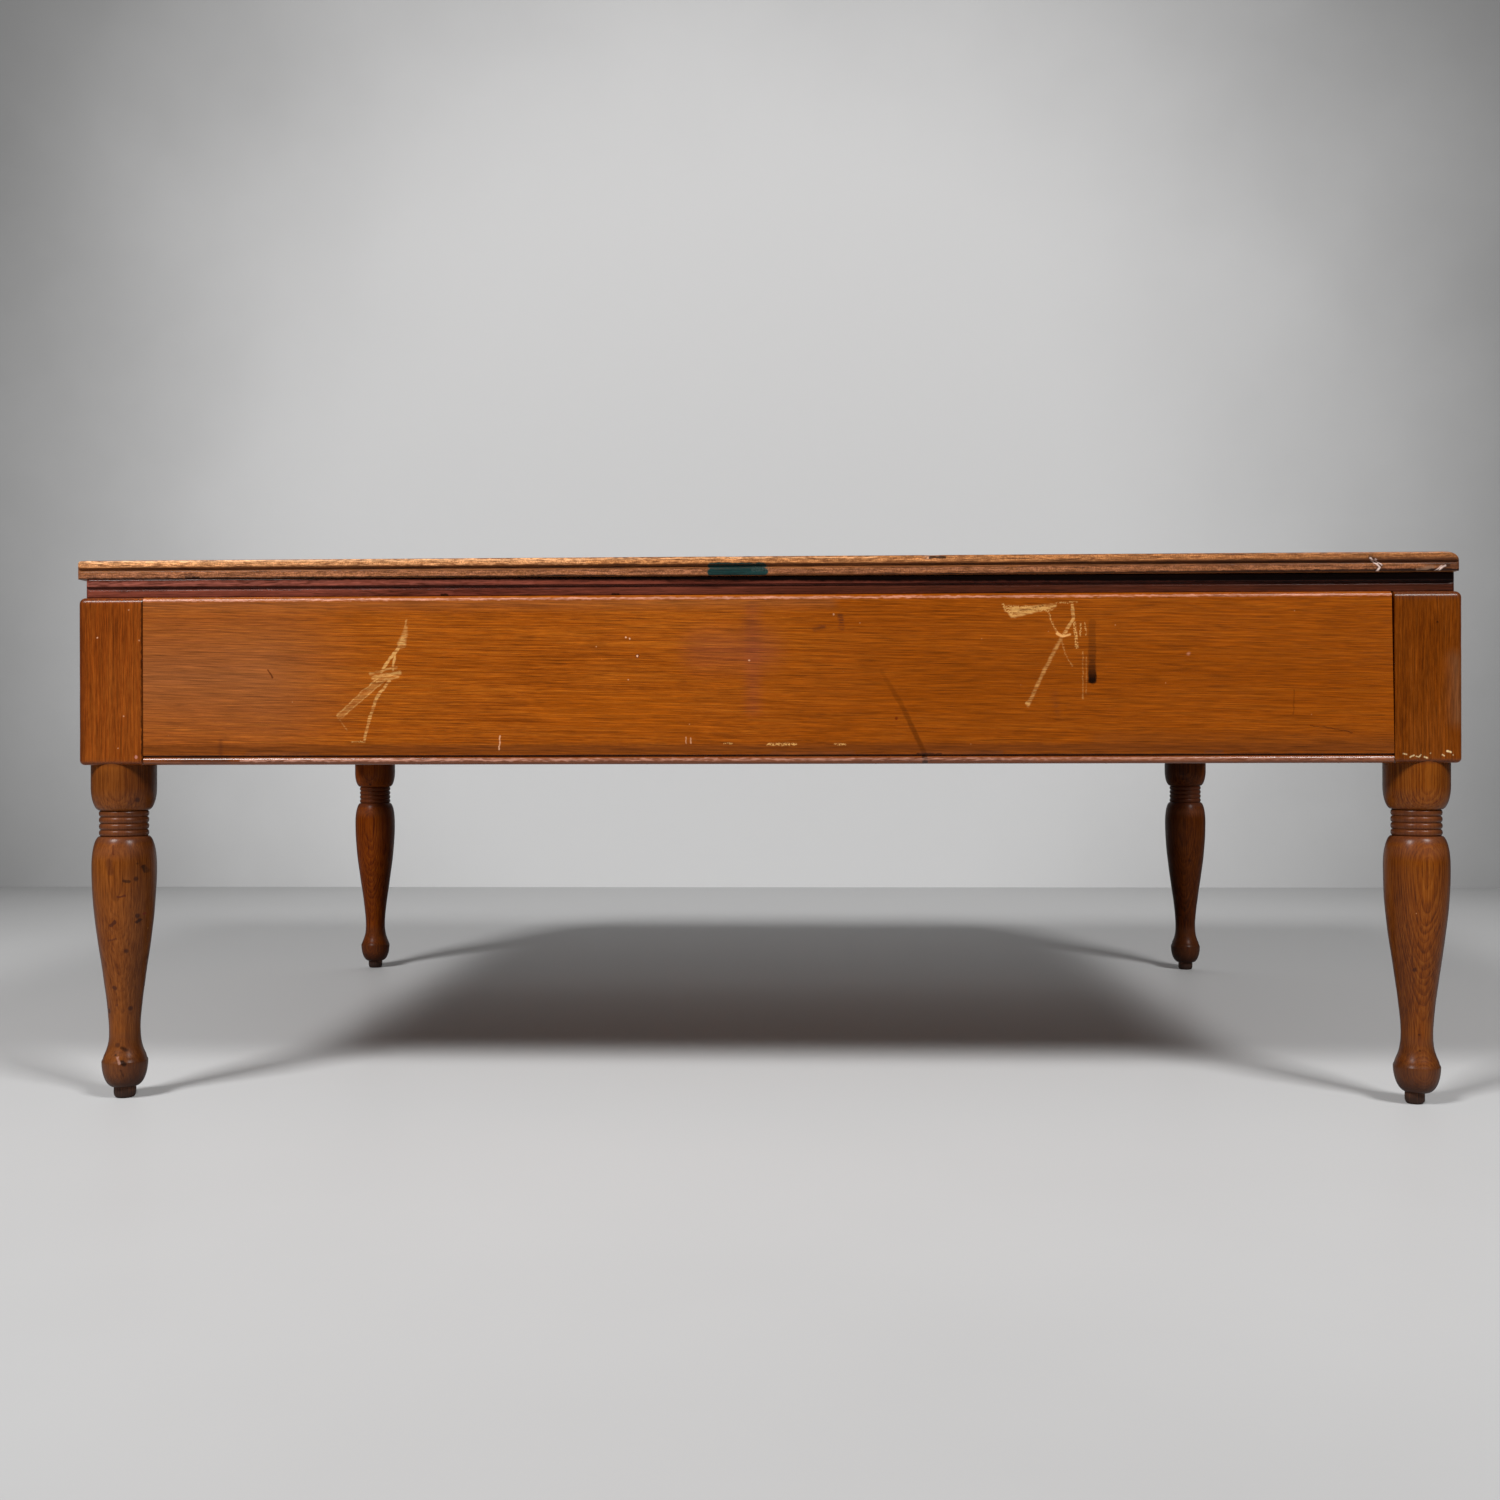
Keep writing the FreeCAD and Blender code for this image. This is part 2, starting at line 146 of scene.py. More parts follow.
class Texture(Enum):
    """How a mark covers the wood."""

    SOLID = 0
    RUBBED = 1
    SPECKLED = 2


@dataclass(frozen=True)
class Mark:
    """Stroke from one point to another on the front of the table, in millimetres.

    A stroke whose ends are one point is a round spot, and a wide soft one is a stain. Some strokes are
    painted highlights and painted shadows.
    """

    start: Spot
    end: Spot
    colour: str
    texture: Texture
    widths: tuple[float, float]
    strengths: tuple[float, float]
    soft: float

    def reaches(self, low: float, high: float) -> bool:
        """Tell whether any of the mark lies between two places along the front."""
        margin, ends = max(self.widths) + self.soft, (self.start[0], self.end[0])
        return min(ends) - margin < high and max(ends) + margin > low


def strokes(*groups: Sequence[Any]) -> tuple[Mark, ...]:
    """Strokes from point to point, or a spot where there is only one point.

    Args:
        *groups: for each, the colour, the texture and rows of numbers. A row holds half the width of its
            strokes, their strength, half the width of their edge, and X and Z of each point. A pair in
            place of a width or a strength is for the start and the end.

    Returns:
        The strokes, in order.
    """
    made = []
    for colour, texture, *rows in groups:
        for width, strength, soft, *places in rows:
            widths, strengths = (v if isinstance(v, tuple) else (v, v) for v in (width, strength))
            points = list(zip(places[::2], places[1::2]))
            made.extend(Mark(start, end, colour, texture, widths, strengths, soft)
                        for start, end in zip(points, points[1:] or points))
    return tuple(made)


def stroke_group() -> Tree:
    """Make the group that tells how far inside a stroke a point lies.

    Returns:
        The shader group, which gives 1 inside the stroke and 0 outside.
    """
    places, sizes = ("Point", "Start", "End"), ("Width", "End width", "Strength", "End strength", "Soft")
    tree, at, given = group_tree("stroke", "ShaderNodeTree",
                                 dict.fromkeys(places, "Vector") | dict.fromkeys(sizes, "Float"),
                                 {"Mask": "Float"})
    along = put(tree, "VectorMath SUBTRACT", (at["End"], at["Start"]))
    reach = put(tree, "VectorMath SUBTRACT", (at["Point"], at["Start"]))
    square = put(tree, "VectorMath DOT_PRODUCT", (along, along), "Value")
    square = put(tree, "Math MAXIMUM", (square, 1e-4))
    dot = put(tree, "VectorMath DOT_PRODUCT", (reach, along), "Value")
    share = put(tree, "Math DIVIDE", (dot, square), use_clamp=True)
    near = put(tree, "VectorMath SCALE", {0: along, "Scale": share})
    gap = put(tree, "VectorMath SUBTRACT", (reach, near))
    far = put(tree, "VectorMath LENGTH", (gap,), "Value")
    width, strength = (put(tree, "MapRange", {"Value": share, "To Min": at[start], "To Max": at[end]})
                       for start, end in (sizes[0:2], sizes[2:4]))
    inner = put(tree, "Math SUBTRACT", (width, at["Soft"]))
    outer = put(tree, "Math ADD", (width, at["Soft"]))
    mask = put(tree, "MapRange", {"Value": far, "From Min": outer, "From Max": inner},
               interpolation_type="SMOOTHSTEP")
    tree.links.new(put(tree, "Math MULTIPLY", (mask, strength)), given["Mask"])
    return tree


def figure_group() -> Tree:
    """Make the group that draws growth rings, pores and fibres of ring-porous timber.

    The point is in millimetres from the pith, with Z along the fibres.

    Returns:
        The shader group, whose outputs all run from 0 to 1.
    """
    names = ("Rings", "Pores", "Fibres", "Rub", "Lines", "Cloud")
    tree, at, given = group_tree("timber_figure", "ShaderNodeTree",
                                 {"Point": "Vector", "Ring width": "Float", "Waver": "Float"},
                                 dict.fromkeys(names, "Float"))
    moved: Any = at["Point"]
    for stretch, detail, middle, depth in (((1 / 70, 1 / 70, 1 / 380), 2.0, 0.5, at["Waver"]),
                                           ((1 / 9, 1 / 9, 1 / 60), 1.0, 0.0, 1.3)):
        sway = put(tree, "VectorMath MULTIPLY", (at["Point"], stretch))
        sway = put(tree, "TexNoise", {"Vector": sway, "Scale": 1.0, "Detail": detail}, "Color")
        sway = put(tree, "VectorMath SUBTRACT", (sway, (middle, middle, middle)))
        sway = put(tree, "VectorMath SCALE", {0: sway, "Scale": depth})
        moved = put(tree, "VectorMath ADD", (moved, sway))
    flat = put(tree, "VectorMath MULTIPLY", (moved, (1.0, 1.0, 0.0)))
    radius = put(tree, "VectorMath LENGTH", (flat,), "Value")
    count = put(tree, "Math DIVIDE", (radius, at["Ring width"]))
    years = put(tree, "TexNoise", {"W": count, "Scale": 0.21, "Detail": 2.0}, noise_dimensions="1D")
    count = put(tree, "Math MULTIPLY_ADD", (years, 1.8, count))
    part = put(tree, "Math FRACT", (count,))
    fade, rise = (put(tree, "MapRange", {"Value": part, "From Min": low, "From Max": high},
                      interpolation_type="SMOOTHSTEP") for low, high in ((0.85, 0.0), (0.86, 1.0)))
    ring = put(tree, "Math MAXIMUM", (fade, rise))
    year = put(tree, "TexWhiteNoise", {"W": put(tree, "Math FLOOR", (count,))}, noise_dimensions="1D")
    depth = put(tree, "MapRange", {"Value": year, "To Min": 0.45, "To Max": 1.0})
    drawn = {"Rings": put(tree, "Math MULTIPLY", (ring, depth))}
    # Vessels are a third of a millimetre wide; they are drawn about twice that, so that they show.
    for name, point, stretch, detail, harshness in (
            ("Vessels", moved, (1.5, 1.5, 0.07), 1.5, 0.6),
            ("Fibres", moved, (0.62, 0.62, 0.0065), 4.0, 0.62),
            ("Rub", moved, (0.9, 0.9, 0.11), 3.0, 0.6),
            ("Lines", moved, (1.5, 1.5, 0.03), 2.0, 0.6),
            ("Cloud", at["Point"], (1 / 55, 1 / 55, 1 / 170), 3.0, 0.55)):
        scaled = put(tree, "VectorMath MULTIPLY", (point, stretch))
        drawn[name] = put(tree, "TexNoise", {"Vector": scaled, "Scale": 1.0, "Detail": detail,
                                             "Roughness": harshness})
    bias = put(tree, "Math MULTIPLY_ADD", (drawn["Rings"], 0.16, drawn["Vessels"]))
    drawn["Pores"] = put(tree, "MapRange", {"Value": bias, "From Min": 0.58, "From Max": 0.74},
                         interpolation_type="SMOOTHSTEP")
    for name in names:
        tree.links.new(drawn[name], given[name])
    return tree


@dataclass(frozen=True)
class Band:
    """Darker or duller belt all round a leg, between two heights in millimetres."""

    low: float
    high: float
    colour: str
    strength: float
    soft: float = 2.0


class Layer(NamedTuple):
    """Colour over the stain: how far it covers, and whether the polish is rubbed off there."""

    share: Any
    colour: str
    bare: bool = False


@dataclass(frozen=True)
class Timber:
    """Ring-porous hardwood, stained and shellacked long ago: warm, even, and brighter where it is rubbed.

    The stain sits in the pores, so that rings and pores read darker than the wood between them.
    """

    name: str
    grain: Grain
    light: str
    mid: str
    dark: str
    pore: str = "#2E1204"
    # Colour of the painted shade on legs, towards the outline and on the sides away from the lamps.
    painted_shade: str = "#120400"
    pith: Place = (0.0, 0.0, 0.0)
    lean: Place = (0.0, 0.0, 0.0)
    ring_width: float = 2.0
    waver: float = 7.0
    tone: float = 0.62
    ring_weight: float = 0.3
    fibre_weight: float = 1.21
    cloud_weight: float = 0.45
    pore_weight: float = 0.3
    tick_weight: float = 0.6
    streaks: float = 0.0
    flecks: float = 0.0
    pits: float = 0.0
    roughness: float = 0.3
    patchiness: float = 0.22
    bare_roughness: float = 0.3
    gloss: float = 0.08
    coat: float = 0.22
    coat_roughness: float = 0.2
    relief: float = 0.2
    index: float = 1.5
    # Depth of the painted shade on faces that look towards -X and towards +X.
    shade: tuple[float, float] = (0.0, 0.0)
    bands: tuple[Band, ...] = ()
    marks: tuple[Mark, ...] = ()

    def figure(self, tree: Tree) -> Mapping[str, Any]:
        """Lay the timber's figure along this piece.

        Args:
            tree: the material's tree.

        Returns:
            The figure's outputs by name.
        """
        here = put(tree, "TexCoord", out="Object")
        turn = tuple(a + math.radians(b) for a, b in zip(self.grain.value, self.lean))
        point = put(tree, "Mapping", {"Vector": here, "Location": tuple(MM * p for p in self.pith),
                                      "Rotation": turn, "Scale": (MM, MM, MM)}, vector_type="TEXTURE")
        drawn = put(tree, "Group", {"Point": point, "Ring width": self.ring_width, "Waver": self.waver},
                    node_tree=GROUPS["figure"])
        return drawn.node.outputs

    def stain(self, tree: Tree, figure: Mapping[str, Any]) -> Any:
        """Mix the stained wood's colour from its figure.

        Args:
            tree: the material's tree.
            figure: the figure's outputs by name.

        Returns:
            The colour socket.
        """
        weights = {"Fibres": self.fibre_weight, "Rub": self.tick_weight, "Cloud": self.cloud_weight}
        # These three swing about a half, and the rings only darken.
        tone: Any = self.tone - sum(weights.values()) / 2
        for name, weight in (weights | {"Rings": -self.ring_weight}).items():
            tone = put(tree, "Math MULTIPLY_ADD", (figure[name], weight, tone))
        colour = put(tree, "ValToRGB", {"Fac": tone})
        stops = colour.node.color_ramp.elements
        stops[0].color, stops[1].color = linear(self.dark), linear(self.light)
        stops.new(0.5).color = linear(self.mid)
        return colour

    def specks(self, tree: Tree, figure: Mapping[str, Any]) -> list[Layer]:
        """Fill the pores, chip the polish, and bruise it.

        Args:
            tree: the material's tree.
            figure: the figure's outputs by name.

        Returns:
            The layers.
        """
        layers = [Layer(put(tree, "Math MULTIPLY", (figure["Pores"], self.pore_weight)), self.pore)]
        here = put(tree, "TexCoord", out="Object")
        # Flecks are chipped polish, pits are small bruises filled with wax and dirt.
        for amount, scale, reach, colour in ((self.flecks, 210.0, 0.16, "#D0905C"),
                                             (self.pits, 105.0, 0.3, "#341406")):
            if amount:
                cells = put(tree, "TexVoronoi", {"Vector": here, "Scale": scale}).node.outputs
                draw = put(tree, "SeparateXYZ", (cells["Color"],))
                chosen = put(tree, "Math LESS_THAN", (draw, amount))
                near = put(tree, "MapRange", {"Value": cells["Distance"], "From Min": reach,
                                              "From Max": reach / 2, "To Max": 0.8})
                layers.append(Layer(put(tree, "Math MULTIPLY", (chosen, near)), colour))
        return layers

    def dirt_and_painted_shade(self, tree: Tree, figure: Mapping[str, Any]) -> list[Layer]:
        """Darken the belts, and paint shade on the rim towards the outline and on the sides of a leg away
        from the lamps.

        Args:
            tree: the material's tree.
            figure: the figure's outputs by name.

        Returns:
            The layers.
        """
        layers: list[Layer] = []
        if not self.bands:
            return layers
        waver = 5.0
        height = put(tree, "SeparateXYZ", (put(tree, "TexCoord", out="Object"),), "Z")
        height = put(tree, "Math MULTIPLY", (height, 1 / MM))
        height = put(tree, "Math MULTIPLY_ADD", (figure["Cloud"], waver, height))
        for band in self.bands:
            middle, half = (band.low + band.high + waver) / 2, (band.high - band.low) / 2
            away = put(tree, "Math SUBTRACT", (height, middle))
            away = put(tree, "Math ABSOLUTE", (away,))
            share = put(tree, "MapRange", {"Value": away, "From Min": half + band.soft,
                                           "From Max": half - band.soft, "To Max": band.strength},
                        interpolation_type="SMOOTHSTEP")
            layers.append(Layer(share, band.colour))
        # Painted shade: darker towards the outline, where the surface turns away from the eye.
        rim = put(tree, "LayerWeight", {"Blend": 0.5}, "Facing")
        rim = put(tree, "MapRange", {"Value": rim, "From Min": 0.55, "From Max": 0.95, "To Max": 0.65})
        layers.append(Layer(rim, self.painted_shade))
        # Painted shade on the sides that face -X and +X, as deep as the two numbers in shade.
        facing = put(tree, "SeparateXYZ", (put(tree, "NewGeometry", out="Normal"),), "X")
        for sign, depth in zip((-1.0, 1.0), self.shade):
            turned = put(tree, "Math MULTIPLY", (facing, sign))
            share = put(tree, "MapRange", {"Value": turned, "From Min": 0.05, "From Max": 1.0,
                                           "To Max": depth})
            layers.append(Layer(share, self.painted_shade))
        return layers

    def wear(self, tree: Tree, figure: Mapping[str, Any]) -> list[Layer]:
        """Lay the marks one after the other: wear, stains and dirt, and painted highlights and painted
        shadows.

        Args:
            tree: the material's tree.
            figure: the figure's outputs by name.

        Returns:
            The layers.
        """
        layers: list[Layer] = []
        if not self.marks:
            return layers
        here = put(tree, "VectorMath SCALE", {0: put(tree, "TexCoord", out="Object"), "Scale": 1 / MM})
        wobble = put(tree, "TexNoise", {"Vector": here, "Scale": 0.22, "Detail": 3.0}, "Color")
        wobble = put(tree, "VectorMath SUBTRACT", (wobble, (0.5, 0.5, 0.5)))
        wobble = put(tree, "VectorMath SCALE", {0: wobble, "Scale": 2.6})
        place = put(tree, "SeparateXYZ", (put(tree, "VectorMath ADD", (here, wobble)),)).node.outputs
        flat = put(tree, "CombineXYZ", (place["X"], place["Z"], 0.0))
        facing = put(tree, "SeparateXYZ", (put(tree, "NewGeometry", out="Normal"),), "Y")
        facing = put(tree, "Math MULTIPLY", (facing, -1.0))
        seen = put(tree, "MapRange", {"Value": facing, "From Min": 0.2, "From Max": 0.5})
        streak = put(tree, "MapRange", {"Value": figure["Rub"], "From Min": 0.4, "From Max": 0.58,
                                        "To Min": 0.2, "To Max": 1.0})
        dust = put(tree, "TexNoise", {"Vector": here, "Scale": 0.8, "Detail": 2.0})
        dust = put(tree, "MapRange", {"Value": dust, "From Min": 0.44, "From Max": 0.54})
        cover = {Texture.RUBBED: streak, Texture.SPECKLED: dust}
        for (colour, texture), run in groupby(self.marks, lambda mark: (mark.colour, mark.texture)):
            whole: Any = 0.0
            for mark in run:
                stroke = put(tree, "Group", {
                    "Point": flat, "Start": (*mark.start, 0.0), "End": (*mark.end, 0.0), "Soft": mark.soft,
                    "Width": mark.widths[0], "End width": mark.widths[1], "Strength": mark.strengths[0],
                    "End strength": mark.strengths[1]}, node_tree=GROUPS["stroke"])
                whole = put(tree, "Math MAXIMUM", (stroke, whole))
            whole = put(tree, "Math MULTIPLY", (whole, seen))
            if texture in cover:
                whole = put(tree, "Math MULTIPLY", (whole, cover[texture]))
            layers.append(Layer(whole, colour, texture in cover))
        return layers

    def material(self) -> Material:
        """Make the finish.

        Returns:
            The material.
        """
        made, tree = finish_tree(self.name)
        figure = self.figure(tree)
        colour, bare = self.stain(tree, figure), 0.0
        for layer in self.specks(tree, figure) + self.dirt_and_painted_shade(tree, figure) + self.wear(tree, figure):
            colour = put(tree, "Mix", {0: layer.share, 6: colour, 7: linear(layer.colour)}, 2,
                         data_type="RGBA")
            if layer.bare:
                bare = put(tree, "Math MAXIMUM", (layer.share, bare))
        # Stains lie between the fibres, so that the grain shows through every one of them.
        streak = put(tree, "Math MULTIPLY_ADD", (figure["Lines"], self.streaks, 1.0 - self.streaks / 2))
        colour = put(tree, "VectorMath SCALE", {0: colour, "Scale": streak})
        dull = self.roughness - self.patchiness / 2
        dull = put(tree, "Math MULTIPLY_ADD", (figure["Cloud"], self.patchiness, dull))
        dull = put(tree, "Math MULTIPLY_ADD", (bare, self.bare_roughness, dull))
        height = put(tree, "Math MULTIPLY_ADD", (figure["Pores"], -1.0, figure["Fibres"]))
        bump = put(tree, "Bump", {"Strength": self.relief, "Distance": 0.4 * MM, "Height": height})
        shader = put(tree, "BsdfPrincipled", {
            "Base Color": colour, "Roughness": dull, "IOR": self.index, "Normal": bump,
            "Specular IOR Level": self.gloss, "Coat Weight": self.coat, "Coat IOR": self.index,
            "Coat Roughness": self.coat_roughness})
        put(tree, "OutputMaterial", {"Surface": shader})
        return made


@dataclass
class Solid:
    """Points and faces of closed shapes while they are being made, in millimetres."""

    points: np.ndarray = field(default_factory=lambda: np.empty((0, 3)))
    faces: list[tuple[int, ...]] = field(default_factory=list)

    def loft(self, rings: Sequence[np.ndarray]) -> "Solid":
        """Join closed outlines, one after the other, into a closed skin.

        Args:
            rings: outlines with the same number of points, each an array of rows of three.

        Returns:
            This solid.
        """
        first, count = len(self.points), len(rings[0])
        last = first + (len(rings) - 1) * count
        self.points = np.vstack([self.points, *rings])
        for low, side in product(range(first, last, count), range(count)):
            other = low + (side + 1) % count
            self.faces.append((low + side, other, other + count, low + side + count))
        self.faces.append(tuple(range(first + count - 1, first - 1, -1)))
        self.faces.append(tuple(range(last, last + count)))
        return self

    def turn(self, angle: float) -> "Solid":
        """Turn the solid about Z.

        Args:
            angle: the turn in degrees.

        Returns:
            This solid.
        """
        c, s = math.cos(math.radians(angle)), math.sin(math.radians(angle))
        x, y = self.points[:, 0], self.points[:, 1]
        self.points[:, :2] = np.column_stack([c * x - s * y, s * x + c * y])
        return self

    def mesh(self, name: str, *finishes: Material, borders: Sequence[float] = ()) -> Mesh:
        """Make the solid's mesh, in metres.

        Args:
            name: the mesh's name.
            *finishes: materials, one after the other along X.
            borders: where one finish ends and the next begins.

        Returns:
            The mesh.
        """
        mesh = bpy.data.meshes.new(name)
        mesh.from_pydata((MM * self.points).tolist(), [], self.faces)
        for finish in finishes:
            mesh.materials.append(finish)
        for face in mesh.polygons:
            face.material_index = sum(face.center.x > MM * border for border in borders)
        return mesh


def placed(name: str, data: Any) -> bpy.types.Object:
    """Put a mesh, a lamp or a camera into the scene.

    Args:
        name: the object's name.
        data: what the object holds.

    Returns:
        The object.
    """
    made = bpy.data.objects.new(name, data)
    bpy.context.scene.collection.objects.link(made)
    return made


def baked(carrier: bpy.types.Object) -> Mesh:
    """Keep what an object's modifiers make of it, and remove the object.

    Args:
        carrier: the object.

    Returns:
        The new mesh.
    """
    graph = bpy.context.evaluated_depsgraph_get()
    result = bpy.data.meshes.new_from_object(carrier.evaluated_get(graph), depsgraph=graph)
    bpy.data.objects.remove(carrier)
    return result


def dress(mesh: Mesh, name: str, node: str) -> None:
    """Turn a closed mesh into a piece of the table.

    Args:
        mesh: the mesh, in metres and in place, with its materials.
        name: the piece's name.
        node: the CAD node that the piece stands for.
    """
    work = bmesh.new()
    work.from_mesh(mesh)
    bmesh.ops.recalc_face_normals(work, faces=work.faces)
    work.to_mesh(mesh)
    work.free()
    mesh.polygons.foreach_set("use_smooth", [True] * len(mesh.polygons))
    mesh.set_sharp_from_angle(angle=SMOOTH_BELOW)
    mesh.update()
    piece = placed(name, mesh)
    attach(piece, "root")
    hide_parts(node)
    log.info("%s: %d faces", name, len(mesh.polygons))


def arc(centre: Spot, reach: Spot, start: float, end: float, steps: int) -> np.ndarray:
    """Points of an oval arc between two angles in degrees, as rows of two."""
    angles = np.radians(np.linspace(start, end, steps + 1))
    return np.array(centre) + np.array(reach) * np.column_stack([np.cos(angles), np.sin(angles)])


def circle(radius: float, height: float, sides: int) -> np.ndarray:
    """Closed ring of points about Z, as rows of three."""
    return np.insert(arc((0.0, 0.0), (radius, radius), 0, 360, sides)[:-1], 2, height, axis=1)


def spread(start: Any, end: Any, pitch: float) -> np.ndarray:
    """Places, numbers or points on a line along one axis, no farther apart than the pitch."""
    reach = np.abs(np.subtract(end, start)).max()
    return np.linspace(start, end, max(1, math.ceil(reach / pitch)) + 1)


@dataclass(frozen=True)
class Ripple:
    """Unevenness of a face: width and height of its bumps, in millimetres, and a seed."""

    size: float
    height: float
    seed: float = 0.0

    def at(self, points: np.ndarray, seed: float) -> np.ndarray:
        """Smooth random heights at the points.

        Args:
            points: rows of three, in millimetres.
            seed: shifts the pattern, on top of the ripple's own seed.

        Returns:
            One height for each point.
        """
        whole = seed + self.seed
        shift = Vector((whole * 37.1, whole * 11.7, whole * 5.3))
        return np.array([self.height * noise.noise(Vector(point) / self.size + shift) for point in points])


@dataclass(frozen=True)
class Corner:
    """One corner of the table."""

    name: str
    side_x: int
    side_y: int
    centre_x: float = 571.0
    centre_y: float = 421.0

    @property
    def place(self) -> np.ndarray:
        """Axis of the leg, on the floor."""
        return np.array([self.side_x * self.centre_x, self.side_y * self.centre_y, 0.0])


@dataclass(frozen=True)
class Dent:
    """Dent in a turned shaft: angle in degrees from the front towards +X, height, depth and width."""

    angle: float
    height: float
    depth: float
    width: float


@dataclass
class Leg:
    """Leg with its square block, turned shaft, collar of rings, ball foot and peg."""

    corner: Corner
    finish: Material
    block_finish: Material
    peg_finish: Material
    dents: tuple[Dent, ...] = ()
    sides: int = 96
    peg_radius: float = 9.6
    peg_shift: float = 0.0
    peg_height: float = 10.0
    peg_gap: float = 0.4
    peg_insets: tuple[Spot, ...] = ((0.0, 3.0), (0.5, 1.5), (1.4, 0.6), (3.0, 0.1), (6.0, 0.0), (9.0, 0.0),
                                    (12.0, 0.0))
    ball_height: float = 23.0
    ball_radius: float = 19.6
    ball_lip: float = 0.5
    ball_edge: Spot = (0.25, 0.4)
    cove_height: float = 24.0
    cove: tuple[Spot, ...] = ((0.0, 0.0), (0.16, 0.22), (0.42, 0.66), (0.72, 0.92), (1.0, 1.0))
    neck_radius: float = 13.2
    neck_length: float = 5.0
    belly_radius: float = 27.4
    belly_power: float = 1.5
    shoulder_height: float = 27.0
    collar_radius: float = 20.4
    ring_count: int = 4
    ring_height: float = 5.75
    ring_radius: float = 21.1
    ring_power: float = 0.55
    groove_depth: float = 1.5
    cup_curve: float = 21.0
    cup_straight: float = 19.5
    cup_radius: float = 27.7
    shaft_top: float = 297.0
    shaft_overlap: float = 8.0
    block_top: float = 444.0
    block_half: float = 29.0
    block_round: float = 5.5
    foot_round: float = 4.0
    inner_round: float = 1.5
    block_ease: float = 0.25
    ease_share: float = 0.6
    turning: Ripple = Ripple(22.0, 0.25)
    block_wear: Ripple = Ripple(26.0, 0.3, 9.0)
    peg_wear: Ripple = Ripple(6.0, 0.5, 3.0)

    def outline(self) -> np.ndarray:
        """Radius and height of the turning, from the foot up.

        Returns:
            The outline's points.
        """
        ball_edge = self.peg_height + self.ball_height
        neck = ball_edge + self.cove_height
        cup_wall = self.shaft_top - self.cup_straight
        cup_bottom = cup_wall - self.cup_curve
        collar = cup_bottom - self.ring_count * self.ring_height
        belly = collar - self.shoulder_height
        rim = self.peg_radius + self.peg_gap
        ball = arc((rim, ball_edge - self.ball_lip),
                   (self.ball_radius - rim, self.ball_lip - self.ball_height), 90, 0, 14)
        corner = (self.ball_radius - self.ball_edge[0], ball_edge + self.ball_edge[1])
        ups = np.linspace(0, 1, 15)[1:]
        shares = np.interp(ups, *zip(*self.cove))
        eased_shares = np.convolve(np.pad(shares, 2, mode="edge"), np.ones(5) / 5, mode="valid")
        cove = np.column_stack([self.ball_radius - eased_shares * (self.ball_radius - self.neck_radius),
                                ball_edge + ups * self.cove_height])
        rise = np.linspace(0, 1, 49)
        swell = np.sin(rise * math.pi / 2) ** self.belly_power
        shaft = np.column_stack([self.neck_radius + (self.belly_radius - self.neck_radius) * swell,
                                 neck + self.neck_length + rise * (belly - neck - self.neck_length)])
        shoulder = arc((self.collar_radius, belly), (self.belly_radius - self.collar_radius, collar - belly),
                       0, 90, 16)
        around = np.linspace(0, 1, 9)
        lift = np.sin(math.pi * around) ** self.ring_power
        ring = np.column_stack([self.ring_radius - self.groove_depth * (1 - lift), around * self.ring_height])
        rings = [ring[min(number, 1):] + (0.0, collar + number * self.ring_height)
                 for number in range(self.ring_count)]
        cup = arc((self.collar_radius, cup_wall),
                  (self.cup_radius - self.collar_radius, cup_bottom - cup_wall), 90, 0, 14)
        return np.vstack([ball, corner, cove, shaft, shoulder[1:], *rings, cup,
                          (self.cup_radius, self.shaft_top + self.shaft_overlap)])

    def shaft(self) -> Mesh:
        """Turn the shaft with the lathe tree and dent it.

        Returns:
            The shaft's mesh, in place.
        """
        radii, heights = self.outline().T
        axis = bpy.data.meshes.new("turning_" + self.corner.name)
        axis.from_pydata([(0.0, 0.0, MM * z) for z in heights], list(pairwise(range(len(heights)))), [])
        axis.attributes.new("turned_radius", "FLOAT", "POINT").data.foreach_set("value", MM * radii)
        turned = grown(axis, GROUPS["lathe"], {"Segments": self.sides, "Finish": self.finish})
        flat = np.zeros(len(turned.vertices) * 3)
        turned.vertices.foreach_get("co", flat)
        points = flat.reshape(-1, 3) / MM
        reach = np.hypot(points[:, 0], points[:, 1])
        angle = np.degrees(np.arctan2(points[:, 0], -points[:, 1]))
        push = self.turning.at(points, self.corner.side_x + 2 * self.corner.side_y)
        for dent in self.dents:
            turn = (angle - dent.angle + 180) % 360 - 180
            away = np.hypot(np.radians(turn) * reach, points[:, 2] - dent.height) / dent.width
            push = push - dent.depth * np.exp(-away ** 2)
        # The foot's underside, the part inside the block and the axis stay as they were turned.
        held = (points[:, 2] > self.peg_height + 0.5) & (points[:, 2] < self.shaft_top) & (reach > 1)
        points[:, :2] *= np.where(held, 1 + push / np.maximum(reach, 1), 1.0)[:, None]
        turned.vertices.foreach_set("co", (MM * (points + self.corner.place)).ravel())
        return turned

